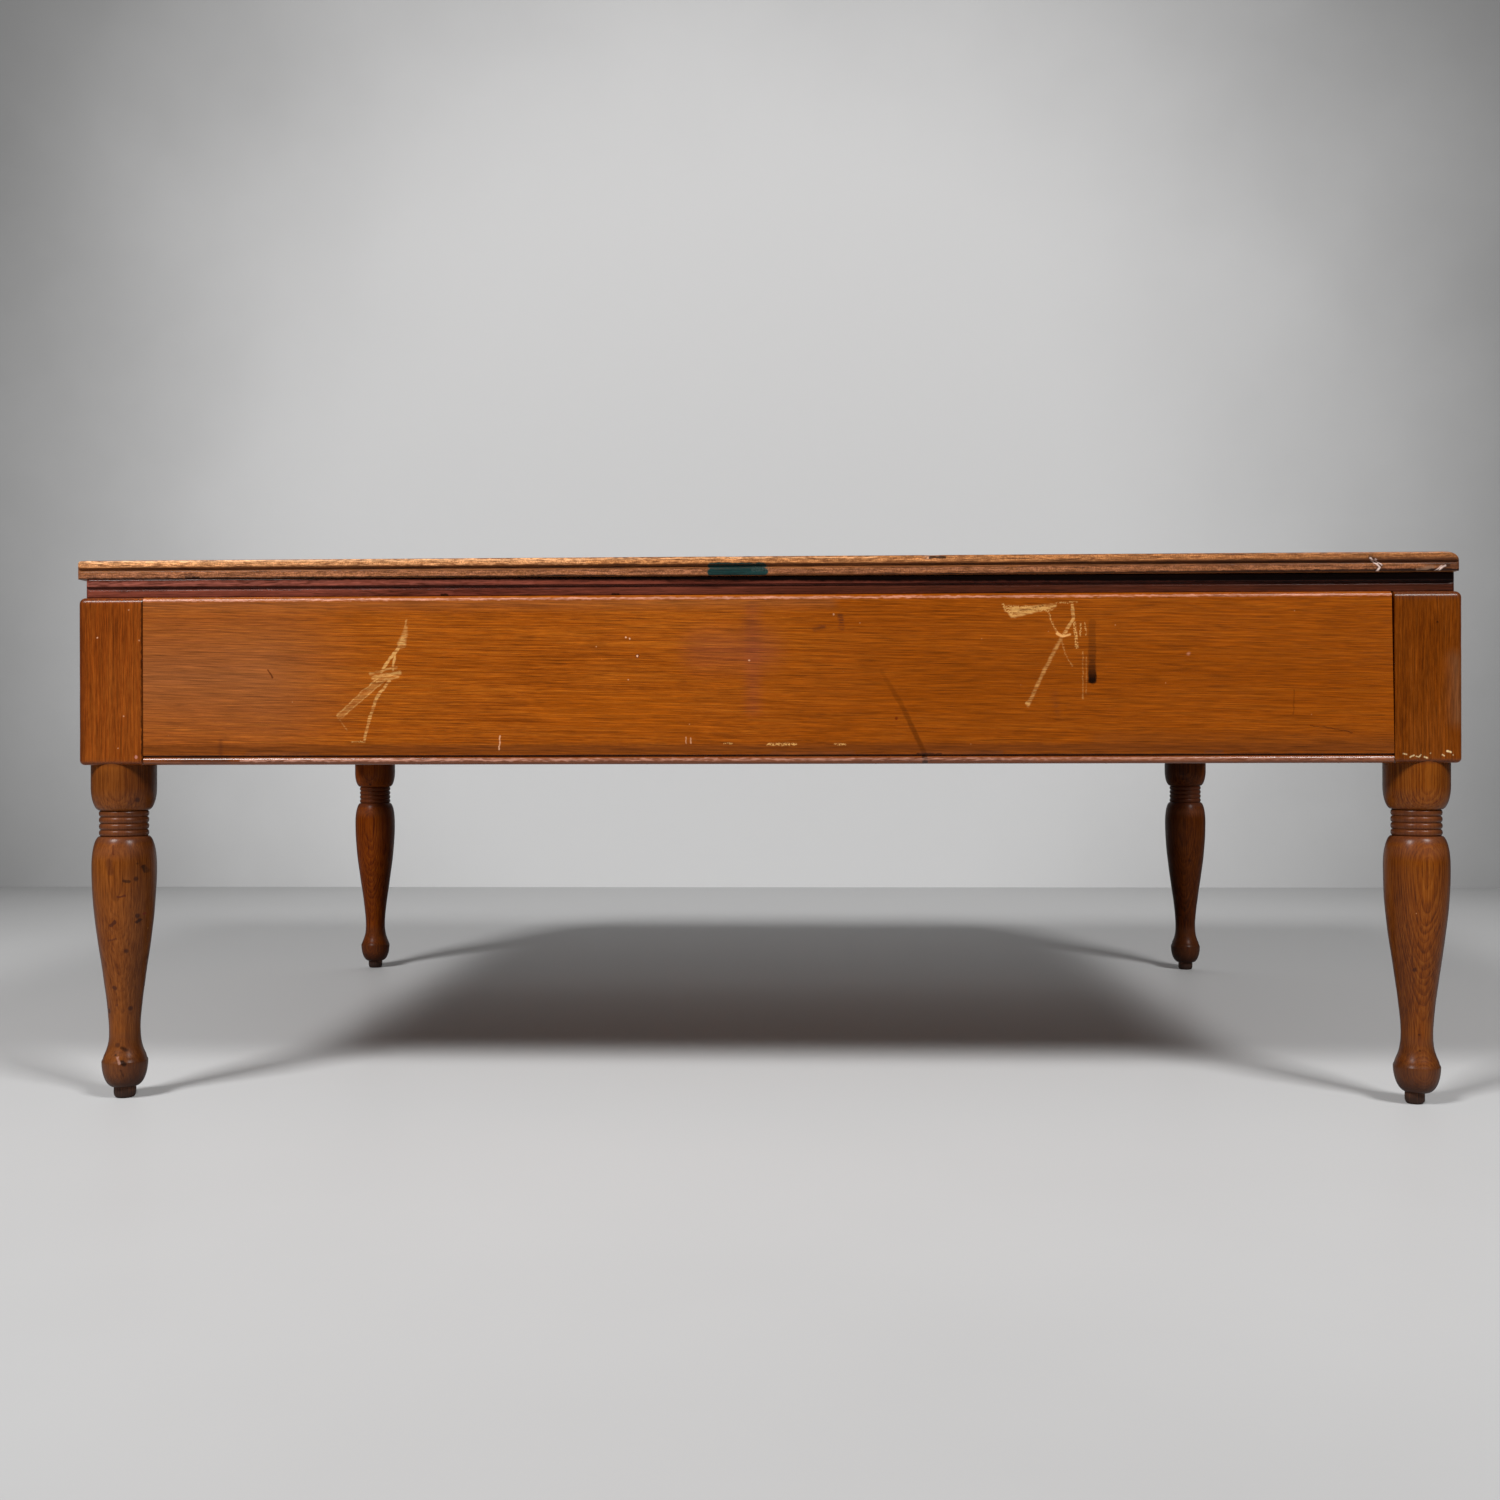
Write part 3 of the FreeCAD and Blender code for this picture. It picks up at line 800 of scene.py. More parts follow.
    def block(self) -> Solid:
        """Square block with its outer corner and outer top edges rounded, eased by hand.

        Returns:
            The block, in place.
        """
        bend, foot = self.block_round, self.foot_round
        low, high = self.shaft_top + foot, self.block_top - bend
        levels = [*arc((foot, low), (-foot, -foot), 90, 0, 6), *spread((0.0, low), (0.0, high), 3.0)[1:],
                  *arc((bend, high), (-bend, bend), 0, 90, 6)[1:]]
        rings = []
        for inset, z in levels:
            inner = min(inset, self.inner_round) if z < low else 0.0
            far, near, edge = self.block_half - inset, self.block_half - inner, max(bend - inset, 0.6)
            turn = far - edge
            plan = np.vstack([np.linspace((-near, far), (-near, -near), 21)[:-1],
                              np.linspace((-near, -near), (far, -near), 21)[:-1],
                              np.linspace((far, -near), (far, turn), 19)[:-1],
                              arc((turn, turn), (edge, edge), 0, 90, 8)[:-1],
                              np.linspace((turn, far), (-near, far), 19)[:-1]])
            rings.append(np.insert(plan * (self.corner.side_x, self.corner.side_y), 2, z, axis=1))
        solid = Solid().loft(rings)
        inward = self.block_ease + np.abs(self.block_wear.at(solid.points, self.corner.side_x))
        solid.points[:, :2] *= 1 - inward[:, None] / self.block_half * self.ease_share
        solid.points += self.corner.place
        return solid

    def peg(self) -> Solid:
        """Peg under the ball, rubbed a little uneven.

        Returns:
            The peg, in place.
        """
        solid = Solid().loft([circle(self.peg_radius - inset, z, 32) for z, inset in self.peg_insets])
        bumps = np.abs(self.peg_wear.at(solid.points, self.corner.side_x)) * (solid.points[:, 2] > 1.0)
        solid.points[:, :2] *= 1 - bumps[:, None] / self.peg_radius
        solid.points += self.corner.place + (self.peg_shift, 0.0, 0.0)
        return solid

    def build(self) -> None:
        """Make the leg and its peg."""
        name = self.corner.name
        mesh, shaft = self.block().mesh("leg_" + name, self.block_finish, self.finish), self.shaft()
        shaft.polygons.foreach_set("material_index", [1] * len(shaft.polygons))
        work = bmesh.new()
        work.from_mesh(mesh)
        work.from_mesh(shaft)
        work.to_mesh(mesh)
        work.free()
        dress(mesh, "worn_leg_" + name, "leg_" + name)
        peg = self.peg().mesh("peg_" + name, self.peg_finish)
        dress(peg, "worn_peg_" + name, "foot_peg_" + name)


def lathe_tree() -> Tree:
    """Make the tree that turns a shaft from an outline of radii along its axis.

    Returns:
        The geometry tree.
    """
    tree, at, given = group_tree("lathe", "GeometryNodeTree",
                                 {"Geometry": "Geometry", "Segments": "Int", "Finish": "Material"},
                                 {"Geometry": "Geometry"})
    axis = put(tree, "GeometryNodeMeshToCurve", {"Mesh": at["Geometry"]})
    radius = put(tree, "GeometryNodeInputNamedAttribute", {"Name": "turned_radius"}, data_type="FLOAT")
    ring = put(tree, "GeometryNodeCurvePrimitiveCircle", {"Resolution": at["Segments"], "Radius": 1.0})
    skin = put(tree, "GeometryNodeCurveToMesh", {"Curve": axis, "Profile Curve": ring, "Scale": radius,
                                                 "Fill Caps": True})
    skin = put(tree, "GeometryNodeRealizeInstances", {"Geometry": skin})
    skin = put(tree, "GeometryNodeSetMaterial", {"Geometry": skin, "Material": at["Finish"]})
    tree.links.new(skin, given["Geometry"])
    return tree


def scatter_tree() -> Tree:
    """Make the tree that sets one fixing at every point, each turned its own way.

    Returns:
        The geometry tree.
    """
    tree, at, given = group_tree(
        "fixings", "GeometryNodeTree",
        {"Geometry": "Geometry", "Fixing": "Object", "Turn": "Float", "Seed": "Int", "Finish": "Material"},
        {"Geometry": "Geometry"})
    shape = put(tree, "GeometryNodeObjectInfo", {"Object": at["Fixing"]}, "Geometry")
    # The random node keeps its float limits in its third and fourth inputs.
    angle = put(tree, "FunctionNodeRandomValue", {2: 0.0, 3: at["Turn"], "Seed": at["Seed"]}, 1,
                data_type="FLOAT")
    turn = put(tree, "CombineXYZ", {"Z": angle})
    spots = put(tree, "GeometryNodeInstanceOnPoints",
                {"Points": at["Geometry"], "Instance": shape, "Rotation": turn})
    spots = put(tree, "GeometryNodeRealizeInstances", {"Geometry": spots})
    spots = put(tree, "GeometryNodeSetMaterial", {"Geometry": spots, "Material": at["Finish"]})
    tree.links.new(spots, given["Geometry"])
    return tree


def grown(mesh: Mesh, tree: Tree, settings: Mapping[str, Any]) -> Mesh:
    """Run a geometry tree on a mesh and keep the result as a plain mesh.

    Args:
        mesh: what the tree starts from.
        tree: the geometry tree.
        settings: values of the tree's inputs by name.

    Returns:
        The new mesh.
    """
    carrier = placed("carrier", mesh)
    modifier = carrier.modifiers.new("grow", "NODES")
    modifier.node_group = tree
    for item in tree.interface.items_tree:
        if item.in_out == "INPUT" and item.name in settings:
            modifier[item.identifier] = settings[item.name]
    return baked(carrier)


def eased(mesh: Mesh, width: float) -> Mesh:
    """Take the sharpness off the edges of a mesh.

    Args:
        mesh: the mesh, in metres.
        width: width of the rounding, in millimetres.

    Returns:
        The same mesh.
    """
    work = bmesh.new()
    work.from_mesh(mesh)
    bmesh.ops.recalc_face_normals(work, faces=work.faces)
    sharp = [edge for edge in work.edges if edge.calc_face_angle(0.0) > BEVEL_ABOVE]
    bmesh.ops.bevel(work, geom=sharp, offset=width * MM, segments=2, profile=0.5, affect="EDGES",
                    clamp_overlap=True)
    work.to_mesh(mesh)
    work.free()
    return mesh


@dataclass(frozen=True)
class ScrewSize:
    """Countersunk wood screw, and the play that it has in its hole."""

    head: float = 4.0
    shank: float = 2.0
    sink: float = 3.0
    tip: float = 4.0
    tip_radius: float = 0.5
    slot: float = 0.9
    slot_depth: float = 1.0
    head_play: float = 0.15
    shank_play: float = 0.1


def bored(mesh: Mesh, holes: Sequence[Place], screw: ScrewSize, depth: float) -> Mesh:
    """Bore countersunk holes upwards into a mesh.

    Args:
        mesh: the mesh, in metres.
        holes: middle of each hole's mouth, in millimetres.
        screw: what goes into the holes.
        depth: depth of the bore.

    Returns:
        A new mesh with the holes.
    """
    mouth, bore = screw.head + screw.head_play, screw.shank + screw.shank_play
    drill = Solid()
    # The drill starts a little below the face, and wider, so that it leaves no skin.
    for hole in holes:
        drill.loft([circle(radius, z, 24) + hole for radius, z in
                    ((mouth + 0.3, -0.45), (mouth, 0.0), (bore, screw.sink), (bore, depth))])
    cutter, carrier = placed("drill", drill.mesh("drill")), placed("work", mesh)
    cut = carrier.modifiers.new("bore", "BOOLEAN")
    cut.operation, cut.solver, cut.object = "DIFFERENCE", "EXACT", cutter
    result = baked(carrier)
    bpy.data.objects.remove(cutter)
    return result


@dataclass(frozen=True)
class Nick:
    """Place where an edge is dented or broken out: where it lies, how wide and how deep."""

    x: float
    z: float
    half_width: float
    half_height: float
    depth: float


@dataclass(frozen=True)
class Blunt:
    """Upper corner of a bar's end that is worn round: which end, how wide and how high."""

    side: int
    width: float
    height: float


class Edge(Enum):
    """How a long edge of a bar is worked."""

    SQUARE = 0
    ROUNDED = 1
    REEDED = 2


def dip(radius: float, from_end: float) -> float:
    """How far a rounding falls back at a distance from the end of the piece."""
    return radius - math.sqrt(max(0.0, radius ** 2 - max(0.0, radius - from_end) ** 2))


@dataclass
class Bar:
    """Straight flat member of frame or top, made along X between two edges in Y, in millimetres."""

    length: float
    front: float
    rear: float
    bottom: float
    thickness: float
    front_edge: Edge = Edge.SQUARE
    rear_edge: Edge = Edge.SQUARE
    end_steps: tuple[float, ...] = (0.0, 0.06, 0.25, 0.6, 1.0, 1.4, 2.1, 2.8, 3.5)
    last_steps: tuple[float, ...] = (3.5, 2.3, 1.2)
    pitch: float = 5.0
    across: float = 10.0
    margin: float = 6.0
    rim_round: float = 1.4
    corner_round: float = 3.5
    lip_round: float = 0.55
    groove_width: float = 3.0
    groove_depth: float = 2.4
    groove_floor: tuple[Spot, ...] = ((0.7, 0.1), (0.15, 0.5), (0.0, 1.1))
    ease: float = 0.3
    waver: Ripple = Ripple(34.0, 0.4, 2.0)
    crumbs: Ripple = Ripple(7.0, 0.22, 5.0)
    worn_width: float = 3.0
    sag: Ripple = Ripple(160.0, 0.25, 8.0)
    nicks: tuple[Nick, ...] = ()
    blunt: tuple[Blunt, ...] = ()
    blunt_reach: float = 70.0
    seed: float = 0.0

    def edge(self, kind: Edge) -> np.ndarray:
        """Depth and height of the points of one long edge, from the underside up.

        Args:
            kind: how the edge is worked.

        Returns:
            The points.
        """
        bend = self.ease if kind is Edge.SQUARE else self.rim_round
        lower = arc((bend, bend), (-bend, -bend), 90, 0, 5)
        if kind is Edge.REEDED:
            reed, lip = (self.thickness - self.groove_width) / 2, self.lip_round
            lower = np.vstack([lower, spread((0.0, bend), (0.0, reed - lip), 1.5)[1:],
                               arc((lip, reed - lip), (-lip, lip), 0, 90, 3)[1:],
                               [(self.groove_depth - back, reed + up) for back, up in self.groove_floor]])
            middle = np.empty((0, 2))
        else:
            middle = spread((0.0, bend), (0.0, self.thickness - bend), 2.5)[1:-1]
        upper = (lower * (1.0, -1.0) + (0.0, self.thickness))[::-1]
        return np.vstack([lower, middle, upper])

    def solid(self) -> Solid:
        """Loft the bar from end to end.

        Returns:
            The bar, lying along X.
        """
        front, rear = self.edge(self.front_edge), self.edge(self.rear_edge)[::-1]
        near, far = self.front + self.margin, self.rear - self.margin
        half, steps = self.length / 2, np.array(self.end_steps)
        last = half - steps[-1] - self.last_steps
        places = [*(steps - half), *spread(steps[-1] - half, last[0], self.pitch)[1:], *last[1:],
                  *(half - steps[::-1])]
        rings = []
        for x in places:
            plan, rim = (dip(r, half - abs(x)) if len(steps) > 1 else 0.0
                         for r in (self.corner_round, self.rim_round))
            ahead, behind = (0.0 if kind is Edge.SQUARE else plan
                             for kind in (self.front_edge, self.rear_edge))
            flat = np.vstack([
                np.column_stack([self.front + np.maximum(front[:, 0], ahead), front[:, 1]]),
                spread((near, self.thickness), (far, self.thickness), self.across),
                np.column_stack([self.rear - np.maximum(rear[:, 0], behind), rear[:, 1]]),
                spread((far, 0.0), (near, 0.0), self.across)])
            flat[:, 1] = np.clip(flat[:, 1], rim, self.thickness - rim) + self.bottom
            rings.append(np.insert(flat, 0, x, axis=1))
        solid = Solid().loft(rings)
        self.wear(solid.points)
        return solid

    def wear(self, points: np.ndarray) -> None:
        """Let the worked edges waver by hand, and break the nicks out of them.

        Args:
            points: the bar's points, which are moved.
        """
        waver = np.abs(self.waver.at(points, self.seed)) + np.abs(self.crumbs.at(points, self.seed))
        near_front = points[:, 1] < self.front + self.worn_width
        near_rear = points[:, 1] > self.rear - self.worn_width
        if self.front_edge is not Edge.SQUARE:
            points[:, 1] += np.where(near_front, waver, 0.0)
        if self.rear_edge is not Edge.SQUARE:
            points[:, 1] -= np.where(near_rear, waver, 0.0)
        top = self.bottom + self.thickness
        sag = np.abs(self.sag.at(points, self.seed))
        points[:, 2] -= np.where(points[:, 2] > top - NEAR, sag, 0.0)
        for corner in self.blunt:
            inside, below = self.length / 2 - corner.width, top - corner.height
            across = (corner.side * points[:, 0] - inside) / corner.width
            up = (points[:, 2] - below) / corner.height
            hold = np.clip((points[:, 1] - self.front) / self.blunt_reach, 0, 1)
            reach = np.maximum(np.hypot(across, up), 1.0)
            reach = np.where((across > 0) & (up > 0), reach + (1 - reach) * hold, 1.0)
            points[:, 0] = np.where(reach > 1, corner.side * (inside + across / reach * corner.width),
                                    points[:, 0])
            points[:, 2] = np.where(reach > 1, below + up / reach * corner.height, points[:, 2])
        for nick in self.nicks:
            away = (np.abs((points[:, 0] - nick.x) / nick.half_width) ** 3
                    + np.abs((points[:, 2] - nick.z) / nick.half_height) ** 3)
            points[:, 1] += np.where(near_front, nick.depth * np.exp(-away), 0.0)


@dataclass
class Apron:
    """Deep board between two leg blocks, and the bead strip along its lower edge."""

    name: str
    angle: float
    length: float
    reach: float
    finishes: Sequence[Material]
    bead_finish: Material
    borders: tuple[float, ...] = ()
    open_top: float = 0.0
    open_bottom: float = 0.0
    thickness: float = 22.0
    bottom: float = 305.2
    top: float = 444.0
    top_round: float = 4.0
    ease: float = 0.3
    back_ease: float = 0.4
    middle: float = 12.0
    pitch: float = 8.0
    seam: float = 0.4
    hollow: Ripple = Ripple(120.0, 0.3, 1.0)
    plane_marks: Ripple = Ripple(22.0, 0.08, 5.0)
    bead_height: float = 7.0
    bead_bottom: float = 297.0
    bead_end_gap: float = 0.4
    bead_pitch: float = 3.0
    bead_waver: Ripple = Ripple(40.0, 0.4, 2.0)
    bead_crumbs: Ripple = Ripple(6.0, 0.2, 9.0)
    tenon_depths: Spot = (6.5, 15.5)
    tenon_heights: tuple[Spot, ...] = ((319.2, 367.2), (382.0, 430.0))
    tenon_overlap: float = 2.0

    def board(self) -> Solid:
        """Board with its outer upper edge rounded, one end drawn back where the joint has opened.

        Returns:
            The board, in place.
        """
        face, back, bend = -self.reach, self.thickness - self.reach, self.top_round
        flat = np.vstack([
            (face + self.ease, self.bottom),
            spread((face, self.bottom + self.ease), (face, self.top - bend), 4.0),
            arc((face + bend, self.top - bend), (-bend, bend), 0, 90, 7)[1:],
            (face + self.middle, self.top), (back - self.back_ease, self.top),
            spread((back, self.top - self.back_ease), (back, self.bottom + self.back_ease), 14.0),
            (back - self.back_ease, self.bottom), (face + self.middle, self.bottom)])
        half = self.length / 2
        share = (flat[:, 1] - self.bottom) / (self.top - self.bottom)
        gap = np.maximum(self.open_bottom + (self.open_top - self.open_bottom) * share, self.seam)
        solid = Solid().loft([np.insert(flat, 0, place * (half - (gap if place > 0 else self.seam)), axis=1)
                              for place in spread(-1.0, 1.0, self.pitch / self.length)])
        if self.open_top:
            near, far = face + self.tenon_depths[0], face + self.tenon_depths[1]
            for low, high in self.tenon_heights:
                tenon = np.array([(near, low), (far, low), (far, high), (near, high)])
                solid.loft([np.insert(tenon, 0, x, axis=1) for x in
                            (half - self.open_top - self.tenon_overlap, half + self.tenon_overlap)])
        hollow = sum(np.abs(ripple.at(solid.points, self.angle / 50))
                     for ripple in (self.hollow, self.plane_marks))
        solid.points[:, 1] += np.where(solid.points[:, 1] < face + NEAR, hollow, 0.0)
        return solid.turn(self.angle)

    def bead(self) -> Solid:
        """Strip with a half-round nose and a quirk above it.

        Returns:
            The strip, in place.
        """
        face, back, r = -self.reach, self.thickness - self.reach, self.bead_height / 2
        flat = np.vstack([
            arc((face + r, self.bead_bottom + r), (-r, r), -90, 90, 14),
            (face + r, self.bottom), (face + self.middle, self.bottom), (back - self.ease, self.bottom),
            (back, self.bottom - self.ease), (back, self.bead_bottom + self.ease),
            (back - self.ease, self.bead_bottom), (face + self.middle, self.bead_bottom)])
        half = self.length / 2 - self.bead_end_gap
        solid = Solid().loft([np.insert(flat, 0, x, axis=1) for x in spread(-half, half, self.bead_pitch)])
        shy = sum(np.abs(ripple.at(solid.points, self.angle / 50))
                  for ripple in (self.bead_waver, self.bead_crumbs))
        depth = solid.points[:, 1] - face
        solid.points[:, 1] += np.where(depth < r - 0.2, shy * np.clip((r - depth) / r, 0, 1), 0.0)
        return solid.turn(self.angle)

    def build(self) -> None:
        """Make the board and the strip."""
        board = self.board().mesh("apron_" + self.name, *self.finishes, borders=self.borders)
        dress(board, "worn_apron_" + self.name, "apron_" + self.name)
        strip = self.bead().mesh("bead_" + self.name, self.bead_finish)
        dress(strip, "worn_bead_" + self.name, "bead_strip_" + self.name)


@dataclass
class MouldedFrame:
    """Frame between aprons and top: reed-edged long rails, end rails and two bearers."""

    finish: Material
    end_finish: Material
    inner_finish: Material
    holes: Sequence[Place]
    length: float = 1190.0
    depth: float = 890.0
    bottom: float = 444.0
    thickness: float = 16.5
    rail_width: float = 75.0
    bearer_width: float = 60.0
    bearer_x: float = 520.0 / 3
    hole_depth: float = 14.0
    screw: ScrewSize = ScrewSize()

    def member(self, bar: Bar, angle: float, node: str, finish: Material) -> None:
        """Make one member of the frame with its screw holes.

        Args:
            bar: the member along X, before it is turned.
            angle: its turn in degrees.
            node: the CAD node that it stands for.
            finish: its material.
        """
        solid = bar.solid().turn(angle)
        low, high = solid.points.min(axis=0), solid.points.max(axis=0)
        mine = [h for h in self.holes if low[0] < h[0] < high[0] and low[1] < h[1] < high[1]]
        mesh = bored(solid.mesh(node, finish), mine, self.screw, self.hole_depth)
        dress(mesh, "worn_" + node, node)

    def build(self) -> None:
        """Make rails and bearers."""
        half_x, half_y, wide = self.length / 2, self.depth / 2, self.rail_width
        for name, angle in (("front", 0.0), ("rear", 180.0)):
            bar = Bar(self.length, -half_y, wide - half_y, self.bottom, self.thickness,
                      front_edge=Edge.REEDED, seed=angle / 60, pitch=4.0)
            self.member(bar, angle, "frame_rail_" + name, self.finish)
        inside = self.depth - 2 * wide
        for name, angle, side, other in (("left", 270.0, -1, "right"), ("right", 90.0, 1, "left")):
            bar = Bar(inside, -half_x, wide - half_x, self.bottom, self.thickness, front_edge=Edge.ROUNDED,
                      end_steps=(0.0,), seed=angle / 60)
            self.member(bar, angle, "frame_rail_" + name, self.end_finish)
            near = side * self.bearer_x - self.bearer_width / 2
            bearer = Bar(inside, near, near + self.bearer_width, self.bottom, self.thickness,
                         end_steps=(0.0,), seed=angle / 60 + 3)
            self.member(bearer, 90.0, "bearer_" + other, self.inner_finish)


@dataclass
class TableTop:
    """Top of five edge-jointed boards that has crept round a little on its frame."""

    finishes: Sequence[Material]
    length: float = 1198.0
    depth: float = 900.0
    bottom: float = 460.5
    thickness: float = 16.5
    skew: float = -0.45
    nicks: tuple[Nick, ...] = ()
    blunt: tuple[Blunt, ...] = (Blunt(1, 13.0, 9.0), Blunt(-1, 6.0, 4.0))

    def build(self) -> None:
        """Make the boards, front to rear."""
        count = len(self.finishes)
        width = self.depth / count
        for number, finish in enumerate(self.finishes):
            front = -self.depth / 2 + number * width
            bar = Bar(self.length, front, front + width, self.bottom, self.thickness, seed=number * 1.7,
                      pitch=6.0)
            if number == 0:
                bar.front_edge, bar.pitch, bar.nicks, bar.blunt = Edge.REEDED, 3.0, self.nicks, self.blunt
            if number == count - 1:
                bar.rear_edge = Edge.REEDED
            mesh = bar.solid().turn(self.skew).mesh("board", finish)
            dress(mesh, f"worn_board_{number + 1}", f"top_board_{number + 1}")


@dataclass
class Bracing:
    """Corner braces and rubbed glue blocks inside the aprons."""

    finish: Material
    holes: Sequence[Place]
    half_length: float = 600.0
    half_depth: float = 450.0
    top: float = 444.0
    glue: float = 0.05
    apron_thickness: float = 22.0
    block_side: float = 58.0
    brace_leg: float = 120.0
    brace_thickness: float = 22.0
    brace_gap: float = 0.3
    hole_depth: float = 19.0
    block_size: float = 20.0
    chamfer: float = 8.0
    brace_ease: float = 0.7
    block_ease: float = 0.8
    block_length: float = 60.0
    long_count: int = 3
    short_count: int = 2
    screw: ScrewSize = ScrewSize()

    def brace(self, corner: Corner) -> None:
        """Make one three-cornered brace.

        Args:
            corner: the corner of the table.
        """
        x, y = self.half_length - self.apron_thickness, self.half_depth - self.apron_thickness
        notch_x = self.half_length - self.block_side - self.brace_gap
        notch_y = self.half_depth - self.block_side - self.brace_gap
        plan = np.array([(x - self.brace_leg, y), (notch_x, y), (notch_x, notch_y), (x, notch_y),
                         (x, y - self.brace_leg)]) * (corner.side_x, corner.side_y)
        solid = Solid().loft([np.insert(plan, 2, z, axis=1)
                              for z in (self.top - self.brace_thickness, self.top - self.glue)])
        mine = [h for h in self.holes if h[0] * corner.side_x > 0 and h[1] * corner.side_y > 0]
        mesh = eased(solid.mesh("brace", self.finish), self.brace_ease)
        mesh = bored(mesh, mine, self.screw, self.hole_depth)
        dress(mesh, "sawn_brace_" + corner.name, "corner_brace_" + corner.name)

    def blocks(self, name: str, angle: float, reach: float, other: float, count: int) -> None:
        """Make the glue blocks of one side.

        Args:
            name: the side.
            angle: its turn in degrees.
            reach: middle of the table to the apron's face.
            other: middle of the table to the face of the aprons at its ends.
            count: number of blocks.
        """
        pitch = 2 * (other - self.apron_thickness - self.brace_leg) / count
        near, top = self.apron_thickness - reach, self.top - self.glue
        far, low = near + self.block_size, self.top - self.block_size
        section = np.array([(near, low), (far - self.chamfer, low), (far, low + self.chamfer), (far, top),
                            (near, top)])
        solid = Solid()
        for number in range(count):
            start = (number - (count - 1) / 2) * pitch - self.block_length / 2
            solid.loft([np.insert(section, 0, x, axis=1) for x in (start, start + self.block_length)])
        mesh = eased(solid.turn(angle).mesh("blocks", self.finish), self.block_ease)
        dress(mesh, "sawn_blocks_" + name, "glue_blocks_" + name)

    def build(self, corners: Sequence[Corner]) -> None:
        """Make all braces and blocks.

        Args:
            corners: the corners of the table.
        """
        for corner in corners:
            self.brace(corner)
        for name, angle in (("front", 0.0), ("rear", 180.0)):
            self.blocks(name, angle, self.half_depth, self.half_length, self.long_count)
        for name, angle in (("right", 90.0), ("left", 270.0)):
            self.blocks(name, angle, self.half_length, self.half_depth, self.short_count)


@dataclass(frozen=True)
class Steel:
    """Dull drawn steel, never polished: dark grey, with a brown bloom of rust in patches of 2 mm or so."""

    name: str = "dull_old_steel"
    metal: str = "#6A655F"
    rust: str = "#4A2E1C"
    roughness: float = 0.5

    def material(self) -> Material:
        """Make the finish.

        Returns:
            The material.
        """
        made, tree = finish_tree(self.name)
        here = put(tree, "TexCoord", out="Object")
        bloom = put(tree, "TexNoise", {"Vector": here, "Scale": 420.0, "Detail": 4.0})
        share = put(tree, "MapRange", {"Value": bloom, "From Min": 0.46, "From Max": 0.62})
        tone = put(tree, "Mix", {0: share, 6: linear(self.metal), 7: linear(self.rust)}, 2, data_type="RGBA")
        metal = put(tree, "Math SUBTRACT", (1.0, share))
        shader = put(tree, "BsdfPrincipled", {"Base Color": tone, "Metallic": metal,
                                              "Roughness": self.roughness})
        put(tree, "OutputMaterial", {"Surface": shader})
        return made


